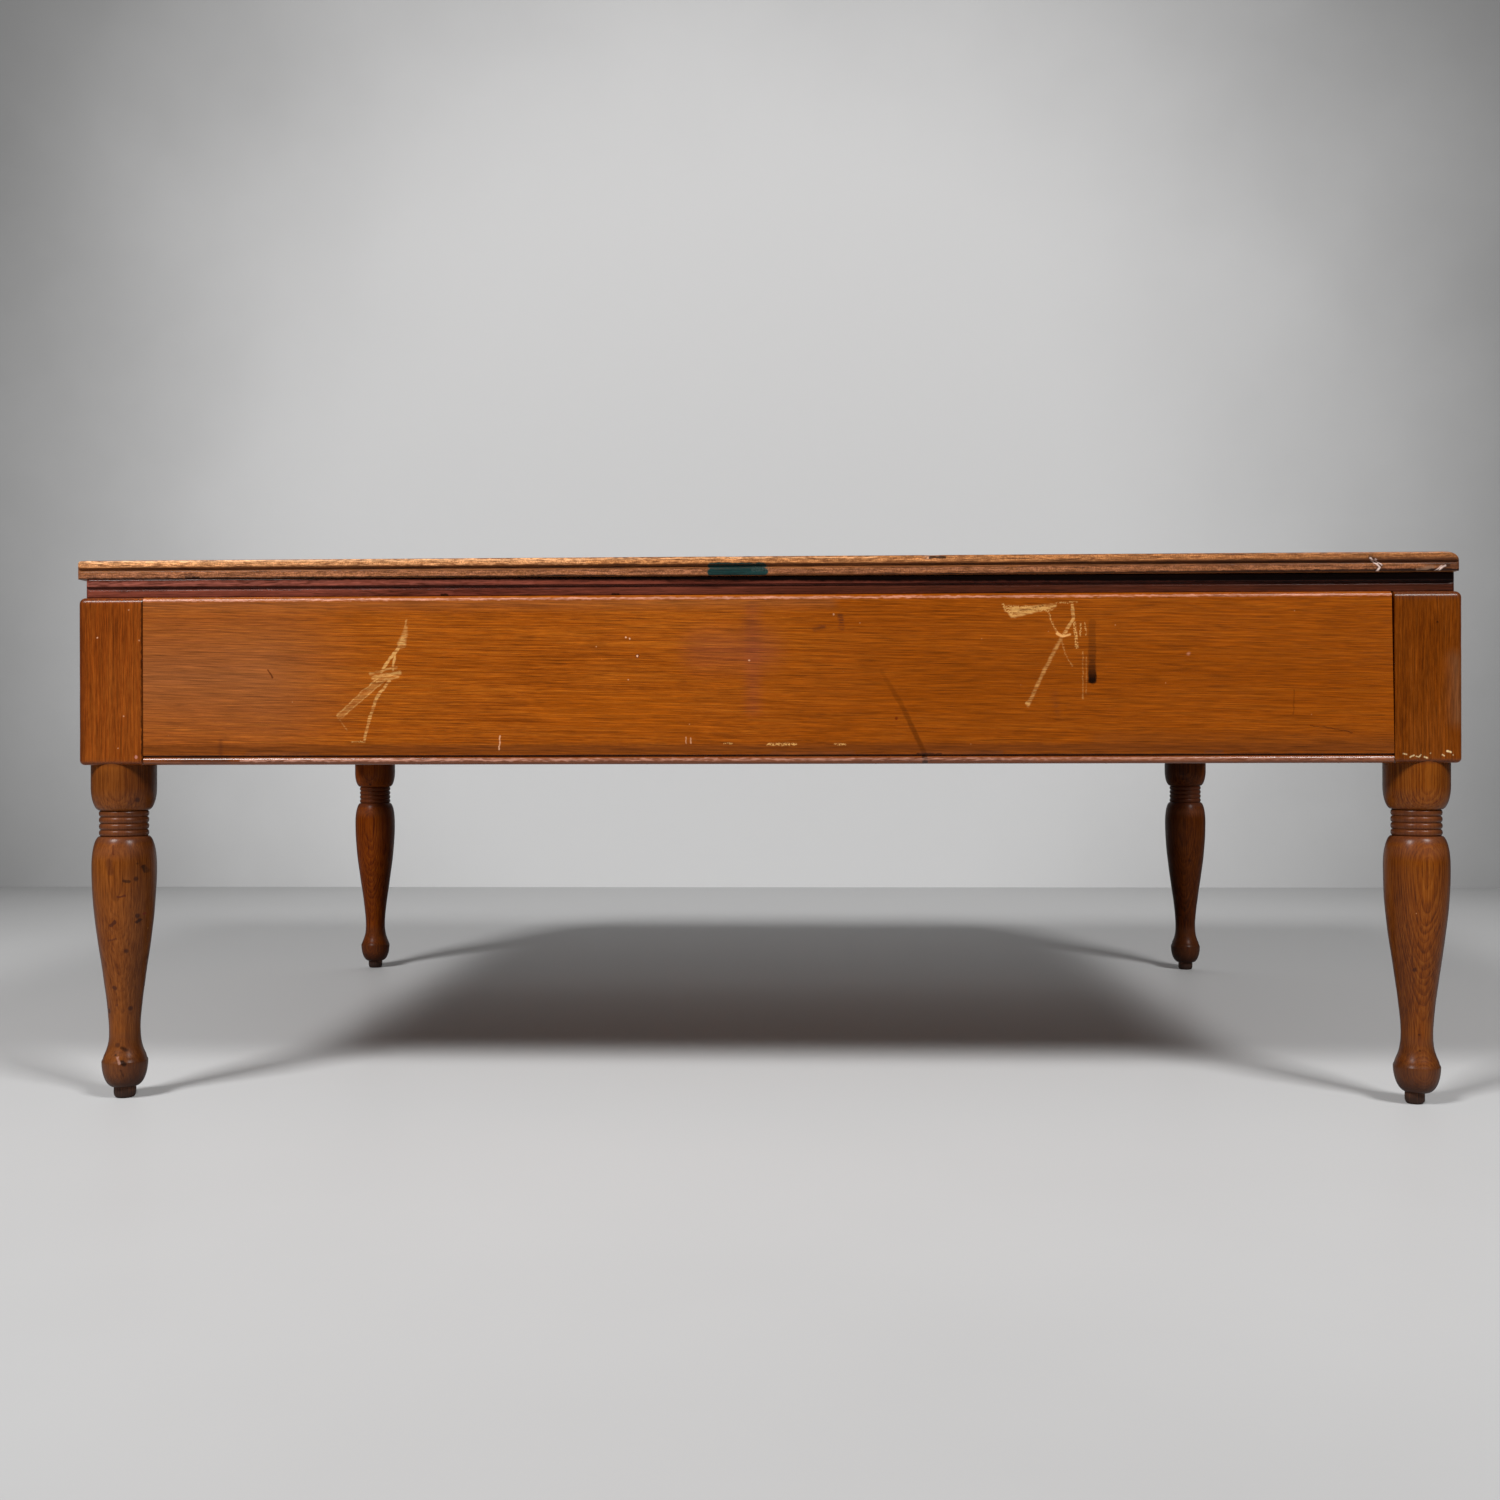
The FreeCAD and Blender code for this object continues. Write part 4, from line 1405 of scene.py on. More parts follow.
@dataclass
class Fixings:
    """Screws and panel pins, each kind set out by a geometry tree from one pattern."""

    finish: Material
    top: float = 444.0
    rail_screws: tuple[float, ...] = (-343.5, -114.5, 114.5, 343.5)
    rail_y: float = 392.0
    cross_screws: tuple[float, ...] = (-180.0, 0.0, 180.0)
    cross_x: tuple[float, ...] = (-542.0, -520.0 / 3, 520.0 / 3, 542.0)
    brace_bottom: float = 422.0
    brace_spots: tuple[Spot, ...] = ((500.0, 399.0), (549.0, 350.0))
    top_screw_length: float = 26.0
    brace_screw_length: float = 32.0
    screw: ScrewSize = ScrewSize()
    bead_bottom: float = 297.0
    long_pins: tuple[float, float, int] = (498.0, 439.0, 6)
    short_pins: tuple[float, float, int] = (348.0, 589.0, 5)
    pin_head: float = 1.3
    pin_shank: float = 0.7
    pin_length: float = 20.0

    def top_screws(self) -> list[Place]:
        """Mouths of the holes of the screws that hold the top boards.

        Returns:
            The places.
        """
        rails = [(x, side * self.rail_y) for x in self.rail_screws for side in (-1, 1)]
        bearers = [(x, y) for y in self.cross_screws for x in self.cross_x]
        return [(x, y, self.top) for x, y in rails + bearers]

    def brace_screws(self) -> list[Place]:
        """Mouths of the holes of the screws through the corner braces."""
        return [(side_x * x, side_y * y, self.brace_bottom)
                for side_x, side_y, (x, y) in product((-1, 1), (-1, 1), self.brace_spots)]

    def pins(self) -> list[Place]:
        """Undersides of the bead strips where the panel pins go in.

        Returns:
            The places.
        """
        places = []
        for (end, reach, count), order in ((self.long_pins, 1), (self.short_pins, -1)):
            for along, side in product(np.linspace(-end, end, count), (-1, 1)):
                places.append((*(along, side * reach)[::order], self.bead_bottom))
        return places

    def screw_pattern(self, length: float) -> Mesh:
        """Slotted countersunk screw that points up, its head level with the origin.

        Args:
            length: from the head's face to the tip.

        Returns:
            The pattern.
        """
        size = self.screw
        cone = size.head - (size.head - size.shank) * size.slot_depth / size.sink
        rings = []
        for radius, z in ((size.head, 0.0), (cone, size.slot_depth), (size.shank, size.sink),
                          (size.shank, length - size.tip), (size.tip_radius, length)):
            # Each ring starts at one side of the slot, and has eight points on either side of it.
            start = math.degrees(math.asin(min(1.0, size.slot / 2 / radius)))
            halves = [arc((0.0, 0.0), (radius, radius), turn + start, turn + 180 - start, 7)
                      for turn in (0, 180)]
            rings.append(np.insert(np.vstack(halves), 2, z, axis=1))
        solid = Solid().loft(rings)
        slot_ends, face = (7, 15), len(solid.faces) - 2
        solid.faces = [sides for number, sides in enumerate(solid.faces) if number not in (*slot_ends, face)]
        solid.faces += [tuple(range(8)), tuple(range(8, 16)), (0, 7, 23, 16), (8, 15, 31, 24),
                        (16, 23, 24, 31)]
        return solid.mesh("screw_pattern")

    def pin_pattern(self) -> Mesh:
        """Panel pin that points up, with a low domed head.

        Returns:
            The pattern.
        """
        head, shank, tip = self.pin_head, self.pin_shank, self.pin_length
        line = ((0.5, -0.22), (1.0, -0.12), (head, 0.1), (head, 0.7), (shank, 0.8), (shank, tip - 2.0),
                (0.15, tip))
        return Solid().loft([circle(radius, z, 10) for radius, z in line]).mesh("pin_pattern")

    def set_out(self, pattern: Mesh, places: Sequence[Place], name: str, node: str, seed: int) -> None:
        """Set one pattern at every place.

        Args:
            pattern: the pattern's mesh.
            places: where it goes.
            name: the piece's name.
            node: the CAD node that it stands for.
            seed: seed of the turns.
        """
        master = bpy.data.objects.new("pattern", pattern)
        points = bpy.data.meshes.new(name)
        points.from_pydata((MM * np.array(places)).tolist(), [], [])
        mesh = grown(points, GROUPS["fixings"], {"Fixing": master, "Turn": math.tau, "Seed": seed,
                                                 "Finish": self.finish})
        bpy.data.objects.remove(master)
        dress(mesh, name, node)

    def build(self) -> None:
        """Make screws and pins."""
        for pattern, places, name, node, seed in (
                (self.screw_pattern(self.top_screw_length), self.top_screws(), "slotted_top_screws",
                 "top_screws", 4),
                (self.screw_pattern(self.brace_screw_length), self.brace_screws(), "slotted_brace_screws",
                 "brace_screws", 9),
                (self.pin_pattern(), self.pins(), "panel_pins", "bead_pins", 2)):
            self.set_out(pattern, places, name, node, seed)


@dataclass(frozen=True)
class Backdrop:
    """Matt mineral surface, clouded faintly by the tool, open from behind, with a painted pool of light:
    paler around one place and darker away from it.
    """

    name: str
    light: str
    dark: str
    centre: Place
    reach: Spot
    squash: float = 1.0
    cloud_scale: float = 1.9
    cloud_weight: float = 0.35
    sheen: float = 0.0
    roughness: float = 0.7

    def material(self) -> Material:
        """Make the finish.

        Returns:
            The material.
        """
        made, tree = finish_tree(self.name)
        here = put(tree, "TexCoord", out="Object")
        cloud = put(tree, "TexNoise", {"Vector": here, "Scale": self.cloud_scale, "Detail": 5.0})
        cloud = put(tree, "Math SUBTRACT", (cloud, 0.5))
        # Painted pool of light: the colour runs from light near the centre to dark beyond the reach.
        away = put(tree, "VectorMath SUBTRACT", (here, self.centre))
        away = put(tree, "VectorMath MULTIPLY", (away, (1.0, 1.0, self.squash)))
        far = put(tree, "VectorMath LENGTH", (away,), "Value")
        far = put(tree, "Math MULTIPLY_ADD", (cloud, self.cloud_weight, far))
        share = put(tree, "MapRange", {"Value": far, "From Min": self.reach[0], "From Max": self.reach[1]},
                    interpolation_type="SMOOTHSTEP")
        tone = put(tree, "Mix", {0: share, 6: linear(self.light), 7: linear(self.dark)}, 2, data_type="RGBA")
        if self.sheen:
            matt = put(tree, "BsdfDiffuse", {"Color": tone})
            gloss = put(tree, "BsdfGlossy", {"Color": linear("#FFFFFF"), "Roughness": self.roughness})
            shader = put(tree, "MixShader", (self.sheen, matt, gloss))
        else:
            shader = put(tree, "BsdfPrincipled", {"Base Color": tone, "Roughness": self.roughness})
        behind = put(tree, "NewGeometry", out="Backfacing")
        mixed = put(tree, "MixShader", (behind, shader, put(tree, "BsdfTransparent")))
        put(tree, "OutputMaterial", {"Surface": mixed})
        return made


@dataclass
class Studio:
    """Pale concrete floor, plastered wall, two soft lamps and the camera."""

    wall_y: float = 1.72
    reach: float = 9.0
    wall_height: float = 6.0
    # Worn smooth, the concrete is pale grey with a faint sheen, and the skimmed plaster is dead matt. Both
    # are painted paler around a centre and darker away from it, a painted pool of light.
    concrete: Backdrop = Backdrop("smooth_concrete", "#CCCCCC", "#8C8C8C", (0.0, 0.55, 0.0), (0.9, 3.0),
                                  sheen=0.05, roughness=0.36)
    plaster: Backdrop = Backdrop("skimmed_plaster", "#DEDEDE", "#888888", (-0.1, 1.72, 0.75), (0.75, 2.2),
                                 squash=0.92)
    left_power: float = 105.0
    right_power: float = 88.0
    lamp_side: float = 0.86
    lamp_place: Place = (1.75, -2.44, 2.79)
    lamp_aim: Place = (0.0, 0.0, 0.3)
    world_strength: float = 0.07
    camera_place: Place = (0.03536, -1.83321, 0.31164)
    lens: float = 38.368
    film: float = 36.0
    pitch: float = -0.0018
    roll: float = -0.0021
    yaw: float = 0.0324

    def sheet(self, name: str, corners: Sequence[Place], finish: Material) -> bpy.types.Object:
        """Make a flat sheet.

        Args:
            name: its name.
            corners: its corners in metres.
            finish: its material.

        Returns:
            The sheet.
        """
        mesh = bpy.data.meshes.new(name)
        mesh.from_pydata(corners, [], [tuple(range(len(corners)))])
        mesh.materials.append(finish)
        return placed(name, mesh)

    def lamp(self, name: str, side: float, power: float) -> bpy.types.Object:
        """Make one soft lamp in front of the table.

        Args:
            name: its name.
            side: -1 for left, 1 for right.
            power: its power in watts.

        Returns:
            The lamp.
        """
        light = bpy.data.lights.new(name, "AREA")
        light.shape, light.size, light.energy = "SQUARE", self.lamp_side, power
        made = placed(name, light)
        made.location = (side * self.lamp_place[0], *self.lamp_place[1:])
        made.rotation_euler = (made.location - Vector(self.lamp_aim)).to_track_quat("Z", "Y").to_euler()
        return made

    def camera(self) -> None:
        """Make the camera."""
        data = bpy.data.cameras.new("camera")
        data.lens, data.sensor_width = self.lens, self.film
        made = placed("camera", data)
        made.location = self.camera_place
        turn = Euler((math.pi / 2 + self.pitch, 0.0, self.yaw)).to_matrix()
        made.rotation_euler = (turn @ Euler((0.0, 0.0, self.roll)).to_matrix()).to_euler()
        bpy.context.scene.camera = made

    def build(self) -> None:
        """Make floor, wall, lamps, world and camera."""
        r, back, high = self.reach, self.wall_y, self.wall_height
        floor = self.sheet("floor", [(-r, -r, 0.0), (r, -r, 0.0), (r, r, 0.0), (-r, r, 0.0)],
                           self.concrete.material())
        wall = self.sheet("wall", [(-r, back, 0.0), (r, back, 0.0), (r, back, high), (-r, back, high)],
                          self.plaster.material())
        lamps = [self.lamp("softbox_left", -1, self.left_power),
                 self.lamp("softbox_right", 1, self.right_power)]
        world = bpy.data.worlds.new("room")
        world.use_nodes = True
        world.node_tree.nodes.clear()
        glow = put(world.node_tree, "Background",
                   {"Color": linear("#FFFFFF"), "Strength": self.world_strength})
        put(world.node_tree, "OutputWorld", {"Surface": glow})
        bpy.context.scene.world = world
        self.camera()
        bpy.context.scene.view_settings.view_transform = "Standard"


PALE, SPECK, INK = "#D09A56", "#F0B890", "#1C0800"
SOLID, RUB, DOT = Texture.SOLID, Texture.RUBBED, Texture.SPECKLED

# A material holds about forty strokes, so that the front apron has one for each third of its length.
APRON_BORDERS = (-150.0, 150.0)
APRON_STAINS_AND_PAINTED_LIGHT = strokes(
    # Redder, greyer left end: part stain, part painted sheen standing for the left lamp's broad reflection.
    ("#8C542F", SOLID, (40, 0.8, 75, -542, 375, -440, 375)),
    ("#7C3900", SOLID, (60, 0.85, 190, 130, 375, 560, 375)),
    ("#A04E02", SOLID, (16, 0.35, 16, -180, 342, -80, 342)),
    ("#80502E", SOLID, (2, 0.55, 9, -540, 437, 60, 437)),
    ("#7E4230", SOLID, (15, 0.3, 16, -50, 396, 0, 396)),
    ("#74362C", SOLID, (6, 0.25, 7, -7, 430, -7, 346)),
    # Dark band along the lower edge: part dirt, part painted shade standing for the edge turning under above
    # the quirk.
    ("#62300E", SOLID, (4.5, 0.72, 3, -542, 310, 542, 310)),
    ("#70380E", SOLID, (6, 0.5, 6, 290, 318, 542, 316)),
    ("#4A2210", SOLID, (1.8, 0.4, 2, -473, 318, -473, 306)),
    # Painted highlight along the rounded top arris.
    ("#D89880", RUB, (0.9, (0.85, 0.5), 0.7, -542, 441, 542, 441)),
)
APRON_SCUFFS = strokes(
    (PALE, RUB, (0.8, 0.5, 0.5, -309, 423, -311, 412), ((1.2, 3.4), (0.6, 0.9), 1.4, -309, 416, -313, 402),
     (1.2, 0.95, 0.5, -313, 403, -326, 386, -331, 378), (1, 0.95, 0.5, -313, 403, -319, 393, -321, 379),
     (0.9, 0.75, 0.8, -341, 376, -318, 382), (1.5, 0.95, 1.2, -338, 373, -315, 377),
     (1, 0.8, 0.9, -335, 369, -316, 374), (2.4, 0.3, 0.9, -329, 373, -346, 359, -368, 339),
     (0.6, 0.85, 0.5, -332, 374, -348, 361, -370, 340), (0.5, 0.75, 0.5, -327, 371, -344, 357, -367, 337),
     (0.5, 0.4, 0.5, -369, 338, -361, 327),
     (1.2, 0.85, 0.5, -324, 370, -335, 356, -341, 339, -345, 324, -346, 319),
     (1.4, 0.55, 0.9, 230, 347, 242, 373, 258, 404), (2.2, 0.8, 0.5, 230, 349),
     (1.4, 0.85, 0.5, 268, 433, 269, 422, 261, 408), (0.5, 0.4, 0.5, 277, 393, 277, 353),
     (0.4, 0.3, 0.5, 280, 389, 280, 357)),
    ("#D69C5C", SOLID, (0.9, 0.9, 0.5, 255, 409, 260, 406, 266, 408)),
    (PALE, RUB, ((4.6, 1.3), 0.95, 1, 218, 427, 253, 433)),
    (PALE, DOT, ((3, 1.5), 0.8, 1.2, 213, 430, 250, 430), (1.2, 0.9, 0.5, 209, 434, 216, 426),
     (0.6, 0.7, 0.5, 254, 435, 272, 436), (0.7, 0.6, 0.5, 246, 431, 251, 418, 255, 409),
     (1.3, 0.8, 0.5, 270, 418, 272, 397), (0.7, 0.8, 0.5, 275, 417, 275, 407),
     (0.6, 0.6, 0.5, 279, 418, 280, 407), (0.6, 0.35, 0.5, 259, 402, 262, 391, 268, 381),
     (0.6, 0.8, 0.5, -358, 317, -346, 317), (0.6, 0.8, 0.5, -32, 315, -25, 315),
     (1.1, 1, 0.5, 6, 314, 30, 314), (0.8, 0.9, 0.5, 64, 314, 73, 314)),
    ("#6A3A0C", DOT, (0.8, 0.8, 0.5, 222, 428, 243, 433)),
)
APRON_DIRT = strokes(
    ("#5E2C04", SOLID, ((3, 3.3), (0.4, 0.7), 0.9, 285, 418, 285, 388)),
    ("#3A1A04", SOLID, ((3.2, 3.4), (0.1, 0.95), 0.8, 285, 392, 285, 369)),
    ("#140400", SOLID, ((3.3, 3.4), (0.25, 0.95), 1.1, 285, 382, 285, 369)),
    ("#56280E", RUB, (3, 0.35, 3, 253, 356, 255, 340)),
    ("#5A2800", SOLID, ((1.6, 2.2), (0.2, 0.5), 1, 104, 377, 122, 347),
     (2.2, (0.5, 0.8), 1, 122, 347, 141, 306), (0.4, 0.6, 0.5, 457, 360, 456, 339)),
    (INK, SOLID, (1.2, 0.75, 0.5, 135, 305, 155, 305)),
    ("#5A1400", SOLID, (1.3, 0.7, 0.5, 117, 336)),
    ("#4A1E0A", RUB, (2.2, 0.7, 2, 47, 414, 54, 415), (2.2, 0.75, 1.5, 69, 425, 70, 415)),
    ("#451A04", SOLID, (0.6, 0.8, 0.5, -431, 380, -429, 377, -427, 373),
     (0.4, 0.7, 0.5, 470, 329, 488, 327, 506, 323)),
    ("#5A1E0A", SOLID, (1.7, 0.9, 0.5, -107, 391)),
    (SPECK, SOLID, (0.9, 1, 0.5, -107, 391), (0.7, 0.9, 0.5, -117, 407), (0.7, 0.9, 0.5, -114, 406),
     (0.7, 0.6, 0.5, -10, 387), (0.6, 0.6, 0.5, -115, 370), (0.8, 0.5, 0.5, 63, 426)),
    ("#C48468", SOLID, (1.4, 0.5, 1.2, 367, 391)),
    ("#D8A078", SOLID, (0.5, 0.9, 0.5, -227, 322, -228, 310), (0.4, 0.8, 0.5, -65, 320, -65, 315),
     (0.4, 0.8, 0.5, -61, 320, -61, 315)),
)
EDGE_MARKS = strokes(
    ("#F4AE74", RUB, ((2.7, 2.6), 1, 1, -600, 474, -150, 474)),
    ("#E0985C", RUB, ((2.6, 2.5), (1, 0.35), 1, -150, 474, 598, 474)),
    ("#B67652", RUB, ((2.4, 2.3), (0.95, 0.5), 1, -600, 464, 598, 464)),
    ("#5A2410", DOT, (2.6, 0.4, 1, -600, 474, 600, 474)),
    ("#3A160A", DOT, (2.6, 0.45, 1, -600, 464, 600, 464)),
    ("#FFC692", RUB, ((0.8, 0.7), (0.7, 0.4), 0.7, -600, 475.4, 100, 475.4)),
    # Painted shadow: a black line along the lower edge of the top's front, widening to the right as the
    # overhang grows.
    ("#1A0602", SOLID, (0.9, 0.8, 0.6, -600, 460.7, -120, 460.7),
     ((0.6, 1.5), (0.7, 0.95), 0.6, 150, 460.7, 598, 461.2)),
    # Darker groove towards the right end: part dirt, part painted shade in the groove.
    ("#4A2A1A", SOLID, ((1.2, 2.6), (0.3, 0.75), 1, 180, 468.8, 560, 469.8),
     ((2.6, 5.5), 0.75, 1.5, 560, 469.8, 600, 467)),
    ("#4A2814", SOLID, (0.5, 0.4, 0.4, -599, 477, 599, 477)),
    ("#05302F", SOLID, (2.8, 0.97, 0.7, -43, 469, 2, 468.5), (3.2, 0.97, 0.7, -43, 463.4, 3, 463.4)),
    ("#46544E", DOT, (2.4, 0.5, 0.5, -6, 466, 5, 466)),
    ("#2C1810", SOLID, (1.9, 0.7, 1, 520, 473, 529, 465, 523, 457), (1.9, 0.7, 1, 585, 466, 574, 456)),
    ("#E4C8BC", SOLID, (0.8, 0.9, 0.5, 520, 472, 528, 464, 523, 457), (0.5, 0.8, 0.4, 524, 471, 530, 466),
     (0.7, 0.75, 0.5, 583, 465, 579, 463, 575, 457), (0.4, 0.7, 0.4, 580, 465, 572, 459)),
    ("#8A6A54", RUB, (1.6, 0.7, 0.5, 560, 462, 572, 464)),
    (INK, SOLID, (1.2, 0.9, 0.5, 146, 475, 159, 475), (1.4, 0.9, 0.5, -505, 461, -494, 461)),
)
EDGE_NICKS = (Nick(152, 476, 6.5, 3.0, 2.2), Nick(-499, 461, 6.0, 3.0, 2.5), Nick(-20, 476, 6.5, 2.0, 1.5),
              Nick(-583, 461, 5.0, 2.5, 1.5), Nick(577, 457, 4.0, 4.0, 1.5), Nick(526, 459, 4.0, 4.0, 1.5))
FRAME_MARKS = strokes(
    (INK, SOLID, (1.2, 0.9, 0.5, -279, 445, -274, 445), (1.2, 0.9, 0.5, -129, 445, -124, 445),
     (1, 0.9, 0.5, 204, 445, 214, 445)),
    ("#2C120C", SOLID, (1.5, 0.3, 0.7, -595, 452, 595, 452)),
    # Painted shadow of the top's overhang, which grows to the right: the lower reed darkens and the rail's
    # top edge turns black.
    ("#3A1A0C", SOLID, (3.5, (0.1, 0.8), 1.5, -230, 448, 80, 448),
     (3.5, (0.8, 0.88), 1.5, 80, 448, 595, 448)),
    ("#0E0402", SOLID, ((0.7, 1), (0.6, 0.85), 0.6, -596, 460, -305, 459.8),
     ((1, 1.7), (0.85, 0.97), 0.8, -305, 459.8, -130, 459.5),
     ((1.7, 3.4), 0.97, 1.2, -130, 459.5, 120, 458.5), ((3.4, 5.4), 0.97, 1.8, 120, 458.5, 595, 456.8)),
    # Painted light on the upper reed at the left end, where the top casts no shadow on it.
    ("#A86050", RUB, (2, (0.6, 0.2), 1, -595, 456, -200, 456)),
)
BEAD_MARKS = strokes(
    ("#4A2818", SOLID, (2.5, 0.6, 3, -505, 302, -468, 302)),
    (INK, SOLID, (2.2, 0.75, 0.5, 141, 303, 142, 298)),
    # Painted highlight along the top of the bead's nose.
    ("#D8A08A", RUB, ((1.1, 1), (0.7, 0.35), 0.8, -455, 301, 542, 301)),
)
LEFT_LEG_MARKS = strokes(
    # The first stroke darkens the block's rounded outer corner: part dirt, part painted shade.
    ("#4A200C", SOLID, (2.5, 0.75, 8, -599, 440, -599, 300), (1.5, 0.5, 2, -596, 298, -546, 298)),
    ("#3A1404", SOLID, (14, 0.25, 6, -586, 279, -550, 279)),
    ("#4A200E", SOLID, (3, 0.55, 1.6, -573, 212, -572, 203), (0.8, 0.6, 0.5, -576, 142, -569, 144),
     (1.4, 0.6, 1, -572, 84)),
    ("#4A1C0C", SOLID, (0.9, 0.6, 0.5, -570, 226, -569, 218), (0.8, 0.8, 0.5, -566, 181, -560, 182)),
    (INK, SOLID, (1.5, 0.8, 0.5, -548, 207, -546, 203), (1, 0.5, 0.5, -551, 210),
     (1.2, 0.7, 0.5, -561, 195, -557, 194), (1.2, 0.8, 0.5, -553, 158, -551, 160),
     (0.9, 0.7, 0.5, -544, 141, -541, 140), (1.2, 0.7, 0.8, -568, 46, -564, 44), (0.9, 0.7, 0.5, -572, 40),
     (1.7, 0.9, 0.8, -566, 34, -564, 32), (0.8, 0.5, 0.5, -567, 27, -565, 22)),
    ("#38160A", SOLID, (1.4, 0.75, 0.5, -573, 156, -569, 159), (1.5, 0.75, 0.8, -574, 100, -572, 99)),
    ("#5A1408", SOLID, (1, 0.8, 0.5, -548, 165)),
    # Painted highlight on the ball.
    ("#D8A490", SOLID, (0.9, 0.35, 0.6, -570, 38, -568, 33)),
    (SPECK, SOLID, (0.6, 0.7, 0.5, -582, 409), (0.5, 0.4, 0.5, -554, 433), (0.5, 0.5, 0.5, -545, 406),
     (0.5, 0.4, 0.5, -559, 340), (0.6, 0.5, 0.5, -564, 312)),
    ("#C08070", SOLID, (1.4, 0.7, 0.5, -548, 304)),
    (INK, SOLID, (1, 0.8, 0.6, -542.5, 441, -542.5, 299)),
    ("#4A2414", DOT, (2, 0.65, 1.5, -599, 442.5, -544, 442.5)),
)
RIGHT_LEG_MARKS = strokes(
    ("#74543A", SOLID, (2, 0.6, 12, 594, 385, 595, 335)),
    (INK, SOLID, (0.8, 0.8, 0.5, 578, 417), (1, 0.6, 0.5, 568, 62), (1, 0.6, 0.5, 568, 48)),
    ("#E8CC98", SOLID, (0.5, 0.55, 0.5, 549, 305, 552, 304), (0.5, 0.75, 0.5, 555, 302, 558, 304),
     (0.5, 0.7, 0.5, 560, 303, 562, 302, 564, 304), (0.6, 0.75, 0.5, 567, 302, 569, 301),
     (0.5, 0.6, 0.5, 572, 305), (0.5, 0.65, 0.5, 582, 304, 584, 303), (0.7, 0.85, 0.5, 586, 307, 589, 306),
     (0.4, 0.6, 0.5, 591, 304)),
    ("#4A2414", DOT, (2, 0.6, 1.5, 544, 442.5, 599, 442.5)),
    ("#4A2A1E", SOLID, (3.5, 0.35, 3, 544, 441, 599, 441)),
    ("#4A2010", SOLID, (1.5, 0.5, 2, 548, 298, 592, 298)),
)
# Dents in the front left shaft, from the shoulder down.
DENTS = (Dent(-5, 208, 0.5, 5.0), Dent(68, 203, 0.5, 2.5), Dent(27, 194, 0.4, 2.0), Dent(17, 182, 0.4, 1.8),
         Dent(0, 162, 0.5, 2.5), Dent(43, 161, 0.5, 2.5), Dent(58, 165, 0.4, 1.8), Dent(-6, 148, 0.5, 3.0),
         Dent(85, 144, 0.5, 2.5), Dent(-9, 108, 0.5, 2.5), Dent(10, 55, 0.4, 2.0), Dent(0, 45, 0.4, 2.0),
         Dent(10, 34, 0.7, 2.5))


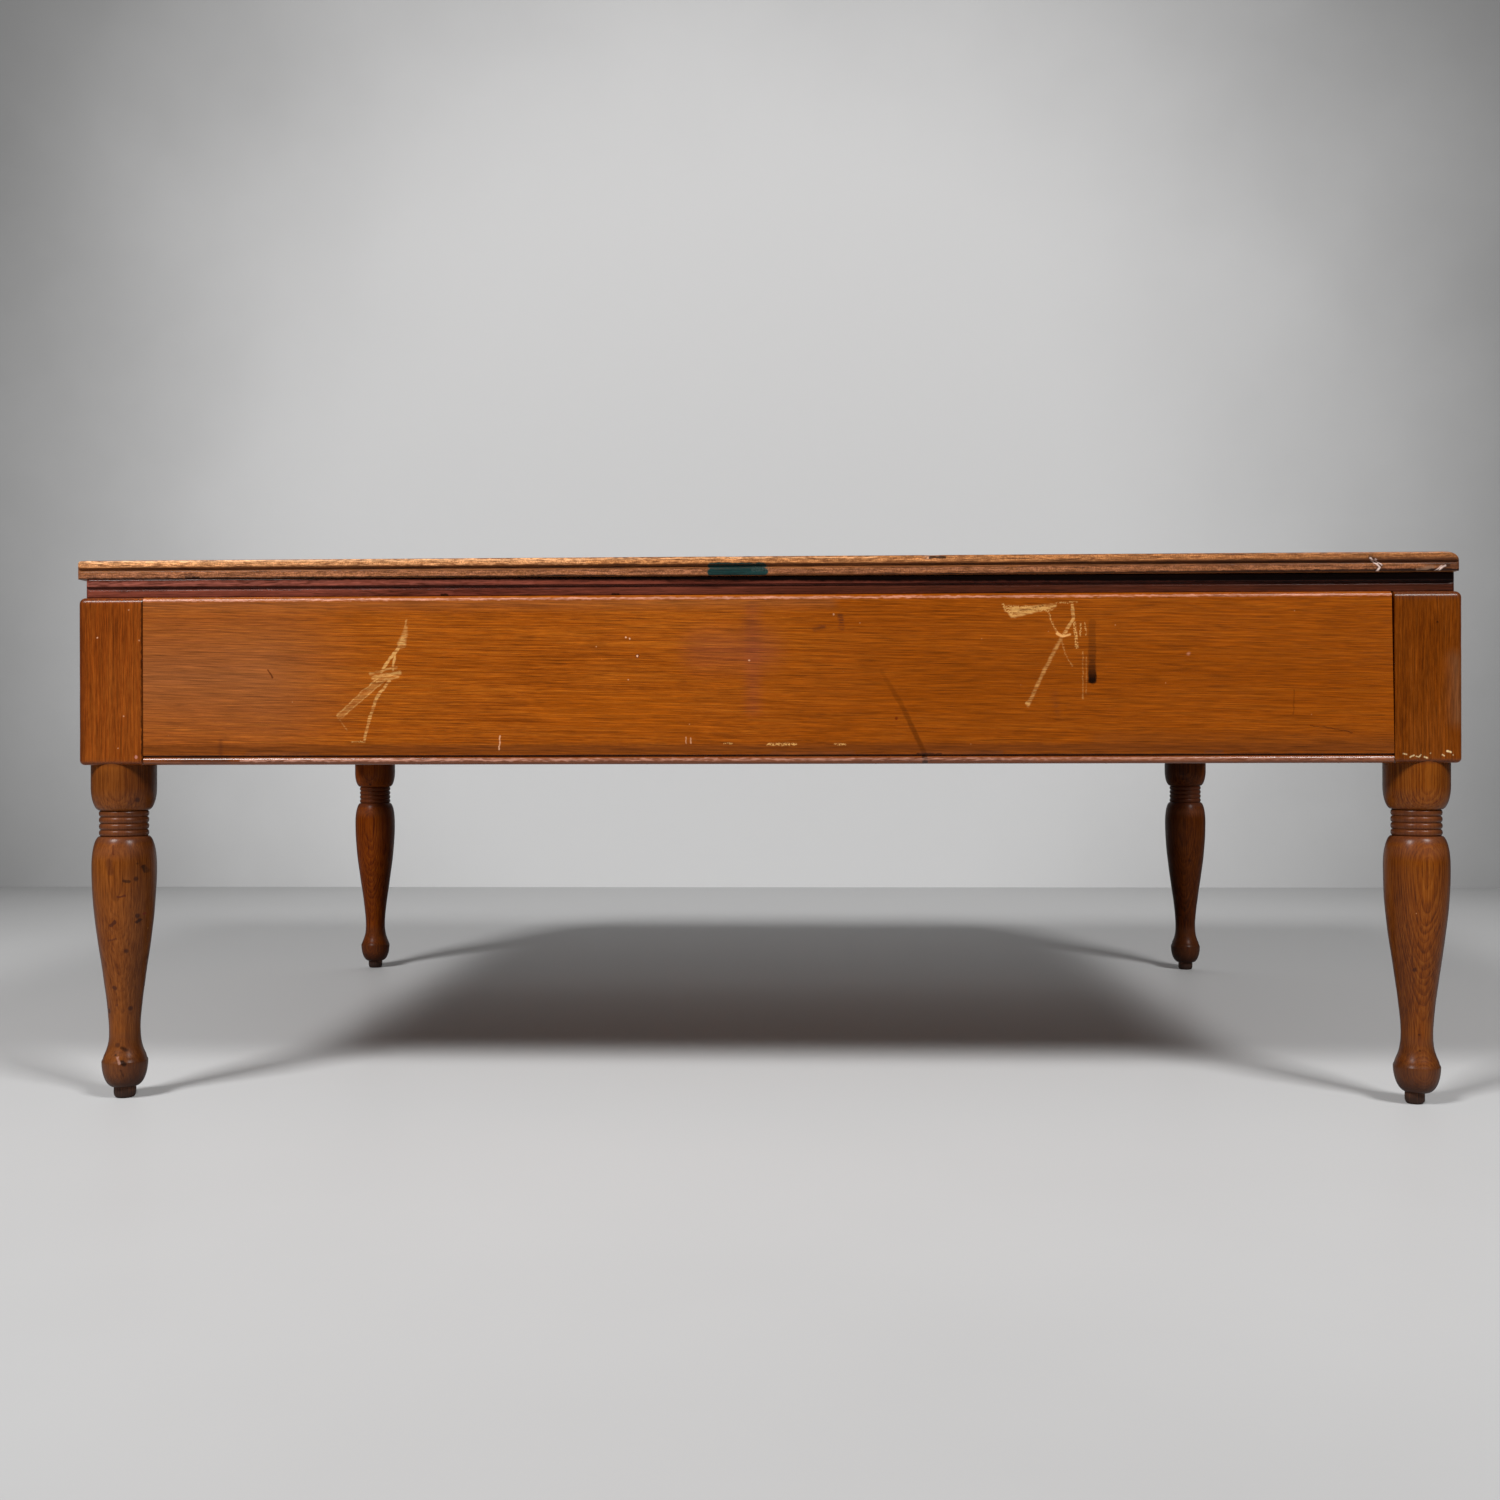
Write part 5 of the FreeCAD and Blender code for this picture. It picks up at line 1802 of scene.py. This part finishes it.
def finishes() -> dict[str, Material]:
    """Make all finishes of the table's wood.

    Returns:
        The materials by short name.
    """
    ash, bead = ("#A65C18", "#8E480E", "#6C3004"), ("#8A4E26", "#7A3E18", "#54260C")
    red, pale = ("#864432", "#6C3426", "#481A10"), ("#A88A62", "#8A6A44", "#64482A")
    apron = {"cloud_weight": 0.7, "streaks": 1.6, "flecks": 0.006}
    bare = {"coat": 0.0, "gloss": 0.35, "roughness": 0.78, "ring_weight": 0.4}
    # Shellac over stained ash is warm and satin, and glossier where it lies thick on the bead. The frame's
    # red stain is darker and leaves the pores open. Planed wood without polish is pale, dry and matt, and
    # the rubbed pegs are matt and almost black towards the floor.
    kinds: list[tuple[str, str, Grain, tuple[str, str, str], Place, Mapping[str, Any]]] = [
        ("apron_rear", "shellacked_ash_rear_apron", Grain.LENGTH, ash, (60.0, 420.0, 900.0), apron),
        ("apron_side", "shellacked_ash_end_apron", Grain.DEPTH, ash, (40.0, 0.0, 30.0), apron),
        ("bead_long", "shellacked_ash_bead", Grain.LENGTH, bead, (0.0, 400.0, 260.0),
         {"marks": BEAD_MARKS, "coat": 0.7}),
        ("bead_side", "shellacked_ash_end_bead", Grain.DEPTH, bead, (400.0, 0.0, 260.0), {"coat": 0.5}),
        ("frame_long", "red_stained_ash_frame", Grain.LENGTH, red, (0.0, 600.0, 400.0),
         {"pore_weight": 0.6, "streaks": 1.8, "marks": FRAME_MARKS}),
        ("frame_side", "red_stained_ash_end_frame", Grain.DEPTH, red, (600.0, 0.0, 400.0),
         {"pore_weight": 0.6}),
        ("peg", "rubbed_peg_end", Grain.UPRIGHT, ("#7A4A2A", "#583018", "#34180A"), (0.0, 0.0, 0.0),
         {"bands": (Band(-16.0, 9.0, "#140A06", 0.8, 6.0),), **bare}),
        ("inner", "planed_unpolished_ash", Grain.LENGTH, pale, (10.0, 140.0, 520.0), bare),
        ("inner_deep", "planed_unpolished_bearer", Grain.DEPTH, pale, (140.0, 0.0, 520.0), bare)]
    overlap = 12.0
    for zone, (low, high) in enumerate(pairwise((-math.inf, *APRON_BORDERS, math.inf))):
        marks = tuple(mark for mark in APRON_STAINS_AND_PAINTED_LIGHT + APRON_SCUFFS + APRON_DIRT
                      if mark.reaches(low - overlap, high + overlap))
        kinds.append((f"apron_front_{zone}", f"shellacked_ash_front_apron_{zone}", Grain.LENGTH,
                      ("#A85A12", "#924708", "#723200"), (0.0, 20.0, -240.0),
                      {"lean": (0.0, 1.2, 0.0), "fibre_weight": 1.87, "ring_weight": 0.16, "pore_weight": 0.2,
                       "tick_weight": 0.8, "streaks": 1.9, "flecks": 0.006, "marks": marks}))
    # The boards come from different places in the log, so that their rings don't run on.
    for number in range(5):
        kinds.append((f"board_{number}", f"worn_polished_ash_board_{number + 1}", Grain.LENGTH,
                      ("#9C6438", "#84502A", "#5A3014"),
                      (0.0, -360.0 + 180.0 * number + (-1) ** number * 30.0, 380.0 + 14.0 * number),
                      {"ring_width": 3.0, "ring_weight": 0.45, "cloud_weight": 0.9, "pore_weight": 0.55,
                       "roughness": 0.38, "streaks": 1.0 if number else 2.6,
                       "marks": () if number else EDGE_MARKS}))
    belts = (Band(228.0, 257.0, "#5A3222", 0.6), Band(216.0, 226.0, "#7C4A34", 0.35, 6.0),
             Band(60.0, 140.0, "#2A1004", 0.13, 25.0), Band(36.0, 58.0, "#5A3420", 0.45, 6.0),
             Band(-10.0, 36.0, "#4C2C1C", 0.6, 3.0), Band(-20.0, 18.0, "#1E0E08", 0.75, 9.0))
    rear = ("#7A3A10", "#642C04", "#3E1400")
    # Each leg's shade pair paints shade on its sides facing -X and +X, where the table keeps the lamps off.
    for name, upper, lower, pith, rings, pits, shade, marks in (
            ("front_left", ("#8F4A14", "#7A380A", "#562204"), ("#90501A", "#743A08", "#4A1C00"),
             (-590.0, -330.0, 0.0), 0.12, 0.09, (0.0, 0.55), LEFT_LEG_MARKS),
            ("front_right", ("#7E400E", "#6A3102", "#4C1C00"), ("#8E5014", "#783A02", "#4E2000"),
             (576.0, -340.0, 0.0), 0.32, 0.03, (0.25, 0.5), RIGHT_LEG_MARKS),
            ("rear_left", rear, ("#964A04", "#7A3400", "#4A1600"),
             (-560.0, 500.0, 0.0), 0.3, 0.03, (0.15, 0.6), ()),
            ("rear_right", rear, ("#6A3406", "#502200", "#2C0C00"),
             (600.0, 510.0, 0.0), 0.3, 0.03, (0.55, 0.2), ())):
        kinds.append(("block_" + name, "shellacked_ash_block_" + name, Grain.UPRIGHT, upper, pith,
                      {"marks": marks, "ring_weight": 0.08, "fibre_weight": 0.77, "tick_weight": 1.1,
                       "pore_weight": 0.2, "cloud_weight": 0.9, "streaks": 2.0, "flecks": 0.008}))
        kinds.append(("leg_" + name, "shellacked_ash_turning_" + name, Grain.UPRIGHT, lower, pith,
                      {"marks": marks, "bands": belts, "shade": shade, "waver": 6.0, "ring_width": 1.15,
                       "ring_weight": rings, "fibre_weight": 1.76, "cloud_weight": 0.8, "flecks": 0.004,
                       "pits": pits, "roughness": 0.45, "gloss": 0.04, "coat": 0.3 if marks else 0.12,
                       "coat_roughness": 0.27, "streaks": 0.4}))
    return {name: Timber(title, grain, *colours, pith=pith, **rest).material()
            for name, title, grain, colours, pith, rest in kinds}


def main() -> None:
    """Build the table and its surroundings."""
    logging.basicConfig(level=logging.INFO, format="%(message)s")
    GROUPS.update(figure=figure_group(), stroke=stroke_group(), lathe=lathe_tree(), fixings=scatter_tree())
    skins = finishes()
    corners = [Corner(f"{end}_{side}", x, y) for end, y in (("front", -1), ("rear", 1))
               for side, x in (("left", -1), ("right", 1))]
    shapes = {"front_left": {"dents": DENTS}, "front_right": {"peg_radius": 8.4, "peg_shift": -1.8}}
    for corner in corners:
        Leg(corner, skins["leg_" + corner.name], skins["block_" + corner.name], skins["peg"],
            **shapes.get(corner.name, {})).build()
    fronts = [skins[f"apron_front_{zone}"] for zone in range(len(APRON_BORDERS) + 1)]
    half_length, half_depth, long, short = 600.0, 450.0, 1084.0, 784.0
    Apron("front", 0.0, long, half_depth, fronts, skins["bead_long"], APRON_BORDERS, open_top=2.6,
          open_bottom=0.5).build()
    Apron("rear", 180.0, long, half_depth, [skins["apron_rear"]], skins["bead_long"]).build()
    for name, angle in (("right", 90.0), ("left", 270.0)):
        Apron(name, angle, short, half_length, [skins["apron_side"]], skins["bead_side"]).build()
    fixings = Fixings(Steel().material())
    MouldedFrame(skins["frame_long"], skins["frame_side"], skins["inner_deep"], fixings.top_screws()).build()
    TableTop([skins[f"board_{number}"] for number in range(5)], nicks=EDGE_NICKS).build()
    Bracing(skins["inner"], fixings.brace_screws()).build(corners)
    fixings.build()
    Studio().build()


if __name__ == "__main__":
    main()
